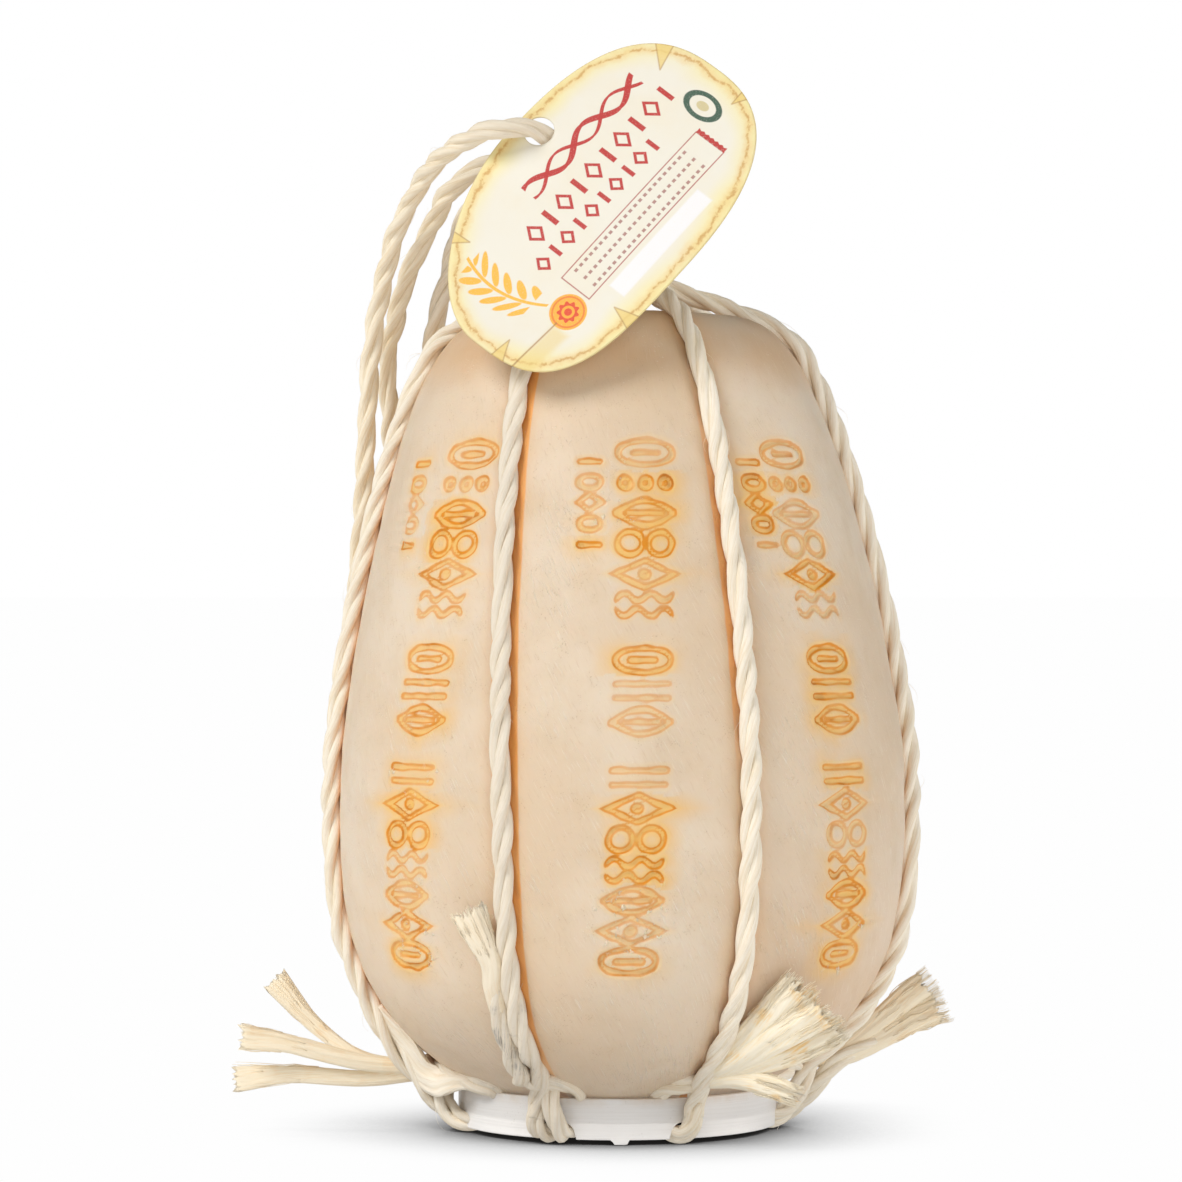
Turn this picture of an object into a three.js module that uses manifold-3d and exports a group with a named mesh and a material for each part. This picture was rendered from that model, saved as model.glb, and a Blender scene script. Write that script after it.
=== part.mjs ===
// A whole provolone cheese, melon-shaped and fluted by the six cords that bind it. The cords are
// gathered in a knot over its top, and each is tied round the plastic base ring that the cheese
// sits in, with its frayed end left long. One more rope comes out of the knot, passes through a
// card tag and hangs over one shoulder as a long loop. Millimetres and degrees, +Z up, front
// towards -Y. The origin is the middle of the flat spot that the cheese stands on.
import * as THREE from "three";
import { mergeVertices } from "three/addons/utils/BufferGeometryUtils.js";
import Module from "manifold-3d";

// Cheese
const TOP_Z = 217;
const WIDEST_Z = 93;
const WIDEST_R = 78; // at the crest of a lobe
const BELLY_POWERS = [3.5, 1.34]; // superellipse of the lower half
const BELLY_BELOW = 1.6; // how far below the flat spot that superellipse ends
const NECK_TAPER = [0.36, 1.47]; // how much the upper half narrows, and how late
const SHOULDER_POWER = 8; // superellipse that rounds off the top
const FLUTE_DEPTH = 3.4;
const FLUTE_FADE_R = 48; // flutes grow shallower inside this radius
const LOBE_ROUNDNESS = 0.6;
const CHEESE_ROWS = 24;
const SWAY = { by: 0.6, halfWave: 152 }; // the axis bends a little to +X, then to -X

// Cords
const CORD_R = 2.75;
const TIE_R = 2.6;
const GAP = 0.3; // clearance between pieces that touch
const STAND_OFF = 0.6; // of a cord's underside from the bottom of its flute
// azimuth of each cord at four heights; 0 is the front, 90 is +X
const CORDS = {
  left: [-80, -79.7, -80.4, -84],
  front_left: [-24.1, -22.7, -24.1, -27.7],
  front_right: [25.1, 24.6, 25.2, 23.7],
  right: [85, 85.7, 86, 85],
  back_right: [148, 147.2, 143.4, 132],
  back_left: [213, 214.7, 222.1, 244],
};
const AZIMUTH_Z = [15, 60, 120, 210];

// Base ring
const RING_R = 42.7;
const RING_WALL = 1.5;
const RING_Z = [1.2, 11.9];
const NIB_WIDTH = 4;
const MOUTH = [-3.4, 6.2]; // along the ring from a cord, to the side where its tie goes

// Knot over the top
const KNOT = { x: -3.5, low: 222.5, high: 238.5, r: 10.5, turns: 3 };

// Tag
const TAG = { length: 96, width: 63, thick: 0.6, holeR: 4.2 };
const TAG_PLACE = { x: -6.3, y: -46.3, z: 243.4, slope: 51.5, lean: 20, turn: 12 };
const TAG_HOLE = { along: 5.9, across: -25.2 };
const TAG_POWERS = { near: [2.7, 1.8], far: [2.45, 3.3] }; // [upper end, lower end]

const wasm = await Module();
wasm.setup();

const names = Object.keys(CORDS);
const at = (x, y, z) => new THREE.Vector3(x, y, z);
const radians = THREE.MathUtils.degToRad;
const outward = (azimuth) =>
  at(Math.sin(radians(azimuth)), -Math.cos(radians(azimuth)), 0);
const sideways = (azimuth) =>
  at(Math.cos(radians(azimuth)), Math.sin(radians(azimuth)), 0);

// ---- Solids -------------------------------------------------------------------------------

// A closed geometry as a solid that can be joined and cut, with its faces pointing out.
function solidOf(geometry) {
  const bare = geometry.clone();
  bare.deleteAttribute("normal");
  bare.deleteAttribute("uv");
  const merged = mergeVertices(bare, 1e-3);
  const vertProperties = merged.attributes.position.array;
  const solid = (triVerts) =>
    new wasm.Manifold(new wasm.Mesh({ numProp: 3, vertProperties, triVerts }));
  const corners = new Uint32Array(merged.index.array);
  const made = solid(corners);
  return made.volume() > 0 ? made : solid(corners.reverse());
}

function geometryOf(solid) {
  const { vertProperties, triVerts } = solid.getMesh();
  const geometry = new THREE.BufferGeometry();
  geometry.setAttribute(
    "position",
    new THREE.BufferAttribute(vertProperties, 3),
  );
  geometry.setIndex(new THREE.BufferAttribute(triVerts, 1));
  return geometry;
}

const joined = (solids) => solids.reduce((all, next) => all.add(next));
const cutBy = (solid, cutters) =>
  cutters.reduce((left, cutter) => left.subtract(cutter), solid);

// [radius, height] pairs turned about +Z, starting at the front.
function turned(profile, segments) {
  const points = profile.map(([r, z]) => new THREE.Vector2(r, z));
  return new THREE.LatheGeometry(points, segments).rotateX(Math.PI / 2);
}

const beyond = (end, before, by) =>
  end.clone().add(end.clone().sub(before).setLength(by));

// A round rope along a smooth curve through the points. `grow` fattens it, ends as well.
function rope(points, radius, steps, grow = 0) {
  const sides = 8;
  const circle = new THREE.EllipseCurve(0, 0, radius + grow, radius + grow);
  const section = new THREE.Shape(circle.getPoints(sides).slice(0, sides));
  const first = beyond(points[0], points[1], grow);
  const last = beyond(points.at(-1), points.at(-2), grow);
  const line = grow ? [first, ...points, last] : points;
  const path = new THREE.CatmullRomCurve3(line, false, "centripetal");
  return solidOf(
    new THREE.ExtrudeGeometry(section, {
      steps,
      bevelEnabled: false,
      extrudePath: path,
    }),
  );
}

// A frayed rope end: a brush that flares from `from` to `to`, thinned by `thickness` in the
// direction `flat`.
function brush(from, to, rootR, endR, thickness, flat, grow) {
  const length = from.distanceTo(to) + grow;
  const axis = to.clone().sub(from).normalize();
  const wide = new THREE.Vector3().crossVectors(axis, flat).normalize();
  const thin = new THREE.Vector3().crossVectors(wide, axis);
  const profile = [
    [0, -1],
    [rootR + grow, -1],
    [(rootR + endR) * 0.45 + grow, length * 0.5],
    [endR + grow, length * 0.95],
    [endR * 0.7 + grow, length],
    [0, length * 0.93],
  ];
  const place = new THREE.Matrix4().makeBasis(wide, thin, axis);
  return solidOf(
    turned(profile, 8)
      .scale(1, thickness, 1)
      .applyMatrix4(place.setPosition(from)),
  );
}

// ---- Cheese -------------------------------------------------------------------------------

// Crest radius at a height: a superellipse below the widest point, and above it a taper
// that ends in a much squarer superellipse.
function crestRadius(z) {
  if (z < WIDEST_Z) {
    const t = (WIDEST_Z - z) / (WIDEST_Z + BELLY_BELOW);
    return WIDEST_R * (1 - t ** BELLY_POWERS[0]) ** (1 / BELLY_POWERS[1]);
  }
  const t = (z - WIDEST_Z) / (TOP_Z - WIDEST_Z);
  const taper = 1 - NECK_TAPER[0] * t ** NECK_TAPER[1];
  return WIDEST_R * taper * (1 - t ** SHOULDER_POWER) ** (1 / SHOULDER_POWER);
}

const fluteDepth = (crest) => FLUTE_DEPTH * Math.min(1, crest / FLUTE_FADE_R);
const sway = (z) => SWAY.by * Math.sin((Math.PI * z) / SWAY.halfWave);

// A cord's azimuth at a height, on the cubic through its four given azimuths.
function azimuthAt(name, z) {
  const h = THREE.MathUtils.clamp(z, AZIMUTH_Z[0], AZIMUTH_Z.at(-1));
  const share = (here) =>
    AZIMUTH_Z.filter((other) => other !== here).reduce(
      (product, other) => (product * (h - other)) / (here - other),
      1,
    );
  return CORDS[name].reduce((sum, angle, i) => sum + angle * share(AZIMUTH_Z[i]), 0);
}

// Points of the crest's outline from the top to the flat spot, evenly spaced along it.
function meridian(rows) {
  const fine = 4000;
  const line = Array.from({ length: fine + 1 }, (_, i) => {
    const z = (TOP_Z * (1 + Math.cos((Math.PI * i) / fine))) / 2;
    return [crestRadius(z), z];
  });
  const run = [0];
  for (let i = 1; i <= fine; i++) {
    const [dr, dz] = [line[i][0] - line[i - 1][0], line[i][1] - line[i - 1][1]];
    run.push(run[i - 1] + Math.hypot(dr, dz));
  }
  return Array.from({ length: rows + 1 }, (_, row) =>
    line[run.findIndex((length) => length >= (run[fine] * row) / rows)],
  );
}

// The cheese's surface: crest outlines all round, drawn in towards the cord in each flute.
// The grid's columns are closest together beside a cord, and follow it up the cheese.
function cheeseSolid() {
  const acrossLobe = [0, 0.05, 0.12, 0.23, 0.36, 0.5, 0.64, 0.77, 0.88, 0.95];
  const rows = [...meridian(CHEESE_ROWS), [0, 0]];
  const columns = names.length * acrossLobe.length;
  const geometry = turned(rows, columns);
  const position = geometry.attributes.position;
  for (let i = 0; i < position.count; i++) {
    const column = Math.floor(i / rows.length) % columns;
    const [crest, z] = rows[i % rows.length];
    const lobe = Math.floor(column / acrossLobe.length);
    const across = acrossLobe[column % acrossLobe.length];
    const start = azimuthAt(names[lobe], z);
    const end =
      lobe + 1 < names.length
        ? azimuthAt(names[lobe + 1], z)
        : azimuthAt(names[0], z) + 360;
    const bulge = Math.sin(Math.PI * across) ** LOBE_ROUNDNESS;
    const radius = crest - fluteDepth(crest) * (1 - bulge);
    const point = outward(start + (end - start) * across);
    point.multiplyScalar(radius).setZ(z);
    position.setXYZ(i, point.x + sway(z), point.y, z);
  }
  return solidOf(geometry);
}

// ---- Binding cords ------------------------------------------------------------------------

// How each cord leaves the knot: its height there, the radius at which it touches the shoulder,
// and the points that it passes on its way there where it isn't drawn tight. `over` is
// [out, side, z] where it leaves the flute early and bulges over its own tail.
const SPANS = {
  left: {
    fromZ: 227,
    touchR: 40,
    over: [
      [62.6, 0, 26],
      [58.6, 0, 20],
      [54.4, 0, 14.8],
      [50.6, 0, 10.4],
      [47.8, 0, 6.6],
    ],
  },
  front_left: {
    fromZ: 227,
    touchR: 40,
    over: [
      [51.5, 0, 20.5],
      [47.6, -0.6, 15.6],
      [46, -2.4, 11],
      [46, -3.1, 7],
    ],
  },
  front_right: { fromZ: 228, touchR: 36 },
  right: { fromZ: 228, touchR: 42 },
  back_right: { fromZ: 227, touchR: 40 },
  back_left: {
    fromZ: 235.5,
    touchR: 57,
    slack: [
      at(-17, 5, 243),
      at(-29, 6, 248.5),
      at(-38, 7, 247),
      at(-42, 9, 242),
      at(-45.4, 14, 230.2),
      at(-47.7, 17, 222.8),
      at(-50.2, 20, 212.7),
      at(-50.6, 24, 203),
    ],
  },
};

// A point beside a cord: `out` from the ring's axis, `side` along the ring, `z` up.
const besideCord = (azimuth, out, side, z) =>
  outward(azimuth)
    .multiplyScalar(out)
    .addScaledVector(sideways(azimuth), side)
    .setZ(z);

// A cord's centre line in its flute at a height.
function inFlute(name, z) {
  const step = 0.5;
  const valley = (h) => crestRadius(h) - fluteDepth(crestRadius(h));
  const slope = (valley(z + step) - valley(z - step)) / (2 * step);
  const normal = new THREE.Vector2(1, -slope).normalize();
  const height = CORD_R + STAND_OFF;
  const out = valley(z) + height * normal.x;
  const point = outward(azimuthAt(name, z)).multiplyScalar(out);
  return point.setX(point.x + sway(z)).setZ(z + height * normal.y);
}

const BESIDE_RING = RING_R + CORD_R + GAP;

// From the knot over the shoulder, down the flute, to the outside of the base ring.
function flankRoute(name) {
  const { fromZ, touchR, slack = [], over } = SPANS[name];
  const leavesZ = over ? over[0][2] + 4 : 17;
  const onCheese = meridian(CHEESE_ROWS)
    .filter(([r, z]) => r > touchR && z > leavesZ)
    .map(([, z]) => inFlute(name, z));
  const knot = at(KNOT.x, 0, fromZ);
  const towards = (slack[0] ?? onCheese[0]).clone().sub(knot).setZ(0);
  const atKnot = knot.addScaledVector(towards.normalize(), KNOT.r - 1);
  const beside = over ?? [
    [BESIDE_RING, 0, 10.5],
    [BESIDE_RING, 0, 7],
  ];
  const onRing = beside.map((place) => besideCord(azimuthAt(name, 0), ...place));
  return [atKnot, ...slack, ...onCheese, ...onRing];
}

// Under the ring, up inside it, out over its top edge on one side, and behind the flank.
const TIE = [
  [BESIDE_RING, 0, 10.5],
  [BESIDE_RING + 0.3, 0.3, 5.8],
  [43.8, 1.6, 2.9],
  [38.8, 3.6, 3],
  [36, 5, 5.5],
  [37.8, 6, 11],
  [42.5, 6.4, 15],
  [46, 3.2, 16.8],
  [46.8, -1, 17.6],
  [49.8, -6, 18.6],
];

// The points of a pass of a cord's rope over the ring, from [out, side, z] triples.
const passOver = (name, side, pass) =>
  pass.map(([out, along, z]) =>
    besideCord(azimuthAt(name, 0), out, side * along, z),
  );

// The points of a tail that climbs round its flank, from one height to another.
function climbRoute(name, side, { fromZ, toZ, turns }) {
  const count = Math.max(4, Math.ceil(8 * turns)) + 1;
  const away = CORD_R + TIE_R - 0.6;
  return Array.from({ length: count }, (_, i) => {
    const t = i / (count - 1);
    const z = fromZ + (toZ - fromZ) * t;
    const turn = radians(-side * (100 - 360 * turns * t));
    const azimuth = azimuthAt(name, z);
    return inFlute(name, z)
      .addScaledVector(outward(azimuth), away * Math.abs(Math.cos(turn)))
      .addScaledVector(sideways(azimuth), away * Math.sin(turn));
  });
}

// The free end of each cord: its strands' routes, and the brush that each frays into.
// `side` is the side of the cord on which the rope comes out of the ring, and `tie` stands for
// TIE where the rope goes its own way. `second` is [out, side, z] along a second pass of the rope
// over the ring, or a strand that lies loose beside the first. `mouth` is how far the ring's
// mouth reaches to both sides of the cord. `faces` is the way a flat brush's wide side faces,
// where that isn't straight out.
const TAILS = {
  left: {
    side: 1,
    second: [
      [64.4, 0.5, 30.5],
      [56.6, 0.5, 21],
      [51, 0.5, 14.6],
      [47, 0.5, 8.6],
    ],
    thickness: 0.6,
    faces: at(0.1, -1, 0.2),
    strands: [
      {
        route: [at(-53, -4, 16.6), at(-68, -3, 18.2), at(-81, 2, 26.5)],
        tip: at(-91.9, 4, 38.3),
        endR: 3.9,
      },
      {
        route: [at(-53, -6, 16.6), at(-68, -10, 18), at(-88, -12, 23.6)],
        tip: at(-99.5, -13, 25),
        endR: 4,
      },
      {
        route: [at(-53, -6, 14.6), at(-68, -8, 13.6), at(-86, -7, 14.9)],
        tip: at(-102, -7, 13.9),
        endR: 4.2,
      },
    ],
  },
  front_left: {
    side: 1,
    tie: [
      [46, -2.8, 10.5],
      [46, -3.2, 6],
      [43.4, -2.6, 2.9],
      [38.8, -0.5, 3],
      [36, 2.6, 5.5],
      [37.8, 4.6, 11],
      [42.5, 5.2, 14.8],
      [46, 2.4, 16.4],
      [47.4, -2.4, 16],
      [50.2, -5, 17.4],
    ],
    mouth: [-6.4, 7.8],
    climb: { fromZ: 21, toZ: 44, turns: 0.04 },
    second: [
      [45.2, 1.4, 15],
      [46.6, 2.8, 11.5],
      [46.2, 4.2, 7],
      [43.4, 4.7, 2.9],
      [39, 4.7, 3],
    ],
    thickness: 0.45,
    strands: [{ route: [at(-32.4, -67.8, 49)], tip: at(-38.4, -70, 63), endR: 4.9 }],
  },
  front_right: {
    side: -1,
    thickness: 0.3,
    faces: at(0.1, -1, 0.1),
    strands: [
      {
        route: [at(26, -50, 19.5), at(29, -52.5, 22)],
        tip: at(51.5, -56, 34.5),
        rootR: 4.6,
        endR: 12,
      },
      {
        route: [at(26, -50.5, 18.5), at(30, -53, 19)],
        tip: at(46.5, -57, 15),
        rootR: 3.2,
        endR: 4.8,
      },
    ],
  },
  right: {
    side: -1,
    second: [
      [40, -6.2, 3.4],
      [45, -5.6, 3.8],
      [49.6, -4.6, 7.4],
      [54.2, -4, 11.9],
      [59.8, -3.6, 17.3],
      [66.6, -3, 22.6],
    ],
    mouth: [-9.2, 6.2],
    thickness: 0.45,
    faces: at(0.1, -1, 0.1),
    strands: [
      {
        route: [at(58, 2, 18), at(67, 4, 22)],
        tip: at(87.8, 6, 34.6),
        endR: 7.5,
      },
    ],
  },
  back_right: {
    side: 1,
    thickness: 0.4,
    strands: [
      {
        route: [at(36, 50, 18), at(46, 56, 19)],
        tip: at(66, 66, 24),
        endR: 8,
      },
    ],
  },
  back_left: {
    side: -1,
    climb: { fromZ: 22, toZ: 40, turns: 0.5 },
    thickness: 0.45,
    strands: [{ route: [at(-48, 61, 42)], tip: at(-57, 63, 53), endR: 5.5 }],
  },
};

// One binding cord: flank, tie and frayed tail in one solid. `grow` fattens it for a cutter.
function cordSolid(name, grow = 0) {
  const { side, climb, second, strands, thickness, faces } = TAILS[name];
  const tie = passOver(name, side, TAILS[name].tie ?? TIE);
  const climbing = climb ? climbRoute(name, side, climb) : [];
  const pieces = [rope(flankRoute(name), CORD_R, 20, grow)];
  const split = strands.length > 1;
  if (split) pieces.push(rope(tie, TIE_R, 12, grow));
  if (second) pieces.push(rope(passOver(name, side, second), TIE_R, 6, grow));
  for (const { route, tip, endR, rootR } of strands) {
    const lead = split ? [tie.at(-1)] : [...tie, ...climbing];
    const line = [...lead, ...route];
    const radius = split ? TIE_R - 0.5 : TIE_R;
    pieces.push(rope(line, radius, Math.round(line.length * 1.1), grow));
    const root = route.at(-1);
    const flat = faces ?? at(root.x, root.y, 0).normalize();
    pieces.push(brush(root, tip, rootR ?? radius, endR, thickness, flat, grow));
  }
  return joined(pieces);
}

// ---- Knot and hanging loop ----------------------------------------------------------------

// Turns of rope wound round the gathered cords, one above the other.
function knotSolid(grow = 0) {
  const pitch = (KNOT.high - KNOT.low) / KNOT.turns;
  const bulge = pitch / 2;
  const profile = [[0, KNOT.low - grow]];
  for (let turn = 0; turn < KNOT.turns; turn++)
    for (const angle of [-70, -25, 25, 70])
      profile.push([
        KNOT.r + grow - bulge * (1 - Math.cos(radians(angle))),
        KNOT.low + pitch * (turn + 0.5) + (bulge + grow) * Math.sin(radians(angle)),
      ]);
  profile.push([0, KNOT.high + grow]);
  return solidOf(turned(profile, 16)).translate([KNOT.x, 0, 0]);
}

// The hanging loop leaves the knot, passes through the tag's hole from behind, arches to the
// left, hangs down behind the left cord, turns, and climbs back to the knot inside itself.
const LOOP = [
  [-2.5, -6, 238],
  [-4.3, -12, 245.5],
  [-8, -20, 252.5],
  [-13.7, -28.5, 258.3],
  [-20.6, -36.2, 262.2],
  [-25, -39.5, 263.2],
  [-30.2, -40.6, 262.9],
  [-35.4, -39.5, 261.9],
  [-39.8, -36.2, 260.3],
  [-43.7, -30.5, 258.6],
  [-47.3, -23, 256.4],
  [-51, -15, 253.2],
  [-55.2, -5, 247.3],
  [-59.1, 2, 240.6],
  [-61.9, 6, 232.1],
  [-64.2, 9, 222.3],
  [-66.3, 12, 211.1],
  [-67.9, 14, 189.6],
  [-69, 16, 167.9],
  [-69.8, 17.5, 157.1],
  [-70.8, 20, 148.5],
  [-71.3, 25, 137],
  [-70.4, 32, 126.5],
  [-66.5, 39.8, 120.5],
  [-61.4, 46, 123.5],
  [-59, 47, 133],
  [-59.6, 42.3, 147],
  [-61.3, 31, 175],
  [-62.6, 22.5, 201],
  [-62.6, 20, 208.3],
  [-60.5, 18, 215.8],
  [-58.8, 16, 223.3],
  [-53.4, 10, 235.9],
  [-49.4, 5, 243],
  [-45.8, 0, 249.3],
  [-36, -8, 256.3],
  [-27, -9, 257.5],
  [-17, -6, 253.5],
  [-10, -1, 246],
  [-7, 2, 238],
];

const loopSolid = (grow = 0) =>
  rope(LOOP.map((point) => at(...point)), CORD_R, 40, grow);

// ---- Base ring ----------------------------------------------------------------------------

// A box on the ring's wall at an azimuth, `width` along the ring, between two radii.
function wallBox(azimuth, width, [fromR, toR], [fromZ, toZ]) {
  const centre = outward(azimuth).multiplyScalar((fromR + toR) / 2);
  const place = new THREE.Matrix4().makeRotationZ(radians(azimuth - 90));
  return solidOf(
    new THREE.BoxGeometry(toR - fromR, width, toZ - fromZ).applyMatrix4(
      place.setPosition(centre.setZ((fromZ + toZ) / 2)),
    ),
  );
}

// A short wall with a mouth under each cord, standing on a nib half way between each two.
function ringSolid(cutters) {
  const [low, high] = RING_Z;
  const inner = RING_R - RING_WALL;
  const round = 0.5;
  const wall = turned(
    [
      [inner, low],
      [RING_R - round, low],
      [RING_R, low + round],
      [RING_R, high - round],
      [RING_R - round, high],
      [inner, high],
      [inner, low],
    ],
    40,
  );
  const mouths = names.map((name) => {
    const { side, mouth = MOUTH } = TAILS[name];
    const [from, to] = mouth;
    const beside = THREE.MathUtils.radToDeg((side * (from + to)) / 2 / RING_R);
    const azimuth = azimuthAt(name, 0) + beside;
    const width = to - from;
    return wallBox(azimuth, width, [inner - 1, RING_R + 1], [0, 2 * CORD_R + 1]);
  });
  const nibs = names.map((name, i) => {
    const next = azimuthAt(names[(i + 1) % names.length], 0);
    const middle = (azimuthAt(name, 0) + next + (i + 1 < names.length ? 0 : 360)) / 2;
    return wallBox(middle, NIB_WIDTH, [inner + 0.2, RING_R - 0.3], [0, low + 1]);
  });
  return cutBy(joined([cutBy(solidOf(wall), mouths), ...nibs]), cutters);
}

// ---- Tag ----------------------------------------------------------------------------------

// An oblong outline: each quarter is a superellipse of its own on the same two axes. The near
// long side has the hole.
function tagOutline(count) {
  return Array.from({ length: count }, (_, i) => {
    const turn = (2 * Math.PI * i) / count;
    const [c, s] = [Math.cos(turn), Math.sin(turn)];
    const [upper, lower] = s < 0 ? TAG_POWERS.near : TAG_POWERS.far;
    const power = c > 0 ? upper : lower;
    return new THREE.Vector2(
      (TAG.length / 2) * Math.sign(c) * Math.abs(c) ** (2 / power),
      (TAG.width / 2) * Math.sign(s) * Math.abs(s) ** (2 / power),
    );
  });
}

function tagSolid(cutters) {
  const { along, across } = TAG_HOLE;
  const shape = new THREE.Shape(tagOutline(40));
  const hole = new THREE.Path();
  shape.holes.push(hole.absarc(along, across, TAG.holeR, 0, 2 * Math.PI));
  const card = new THREE.ExtrudeGeometry(shape, {
    depth: TAG.thick,
    bevelEnabled: false,
    curveSegments: 8,
  });
  const [slope, lean] = [radians(TAG_PLACE.slope), radians(TAG_PLACE.lean)];
  const up = at(0, Math.sin(lean), Math.cos(lean));
  const lengthways = at(Math.cos(slope), 0, 0);
  lengthways.addScaledVector(up, Math.sin(slope));
  const crossways = at(Math.sin(slope), 0, 0);
  crossways.addScaledVector(up, -Math.cos(slope));
  for (const way of [lengthways, crossways])
    way.applyAxisAngle(at(0, 0, 1), radians(-TAG_PLACE.turn));
  const facing = new THREE.Vector3().crossVectors(lengthways, crossways);
  const place = new THREE.Matrix4().makeBasis(lengthways, crossways, facing);
  place.setPosition(TAG_PLACE.x, TAG_PLACE.y, TAG_PLACE.z);
  card.translate(0, 0, -TAG.thick / 2).applyMatrix4(place);
  return cutBy(solidOf(card), cutters);
}

// ---- Assembly -----------------------------------------------------------------------------

const MATERIALS = {
  rind: new THREE.MeshStandardMaterial({ color: 0xe9d6bb, roughness: 0.5 }),
  cord: new THREE.MeshStandardMaterial({ color: 0xe6d8b8, roughness: 0.8 }),
  ring: new THREE.MeshStandardMaterial({ color: 0xeeecea, roughness: 0.35 }),
  card: new THREE.MeshStandardMaterial({ color: 0xf3ecd2, roughness: 0.55 }),
};

const provolone = new THREE.Group();

function addPiece(name, solid, material) {
  const mesh = new THREE.Mesh(geometryOf(solid), material);
  mesh.name = name;
  provolone.add(mesh);
}

const fatCords = names.map((name) => cordSolid(name, GAP));
const fatKnot = knotSolid(GAP);
const fatLoop = loopSolid(GAP);

addPiece("cheese", cutBy(cheeseSolid(), fatCords), MATERIALS.rind);
addPiece("base_ring", ringSolid(fatCords), MATERIALS.ring);
for (const name of names)
  addPiece(`cord_${name}`, cutBy(cordSolid(name), [fatKnot]), MATERIALS.cord);
addPiece("top_knot", knotSolid(), MATERIALS.cord);
addPiece("hanging_loop", cutBy(loopSolid(), [fatKnot]), MATERIALS.cord);
addPiece("tag", tagSolid([fatLoop]), MATERIALS.card);

export default provolone;
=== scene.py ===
"""A whole provolone, bound in six laid cords over a base ring, with a card tag on its hanging loop.

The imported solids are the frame, and every shape here is worked out around them with numpy. Shape
functions think in millimetres, with the origin in the middle of the spot that the cheese stands
on, +Z up and the front towards -Y. An azimuth is 0 at the front and 90 at +X.
"""

import bpy
import numpy as np
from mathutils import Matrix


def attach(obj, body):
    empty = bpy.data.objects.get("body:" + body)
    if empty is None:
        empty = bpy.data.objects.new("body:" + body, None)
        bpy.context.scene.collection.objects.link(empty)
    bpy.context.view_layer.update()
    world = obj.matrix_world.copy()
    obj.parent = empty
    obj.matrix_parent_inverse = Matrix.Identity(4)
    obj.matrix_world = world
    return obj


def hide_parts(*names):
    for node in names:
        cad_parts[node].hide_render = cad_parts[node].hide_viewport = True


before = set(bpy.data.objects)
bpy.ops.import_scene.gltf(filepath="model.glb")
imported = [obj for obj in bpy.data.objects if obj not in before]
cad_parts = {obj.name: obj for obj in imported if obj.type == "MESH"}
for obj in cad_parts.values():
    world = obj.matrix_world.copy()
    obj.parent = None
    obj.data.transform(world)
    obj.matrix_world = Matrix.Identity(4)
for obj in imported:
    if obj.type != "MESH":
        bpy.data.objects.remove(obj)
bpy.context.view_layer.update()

MM = 0.001
TAU = 2 * np.pi


# ---- Camera -----------------------------------------------------------------------------------

EYE = (-7.2, -1200.0, 143.2)
LENS = 136.4

camera = bpy.data.objects.new("camera", bpy.data.cameras.new("camera"))
camera.location = [MM * value for value in EYE]
camera.rotation_euler = (np.pi / 2, 0, 0)
camera.data.lens = LENS
camera.data.clip_end = 100
bpy.context.scene.collection.objects.link(camera)
bpy.context.scene.camera = camera


# ---- Grids and meshes -------------------------------------------------------------------------


def ripple(points, wavelength, seed, waves=20):
    """Soft random relief of about -1 to 1: a sum of plane sine waves in seeded directions, each
    of nearly the given wavelength, over the points' own number of dimensions."""
    rng = np.random.default_rng(seed)
    points = np.asarray(points, float)
    ways = rng.normal(size=(waves, points.shape[-1]))
    ways /= np.linalg.norm(ways, axis=1, keepdims=True)
    ways /= wavelength * rng.uniform(0.6, 1.7, (waves, 1))
    phases = rng.uniform(0, TAU, waves)
    return np.sin(TAU * points @ ways.T + phases).sum(axis=-1) / np.sqrt(waves)


def wobble(run, wavelength, seed):
    """Soft random relief along a line, as ripple() gives it over its length."""
    return ripple(np.asarray(run)[..., None], wavelength, seed, 10)


def unit(vectors):
    return vectors / np.linalg.norm(vectors, axis=-1, keepdims=True)


def smoothstep(low, high, value):
    t = np.clip((value - low) / (high - low), 0, 1)
    return t * t * (3 - 2 * t)


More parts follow.
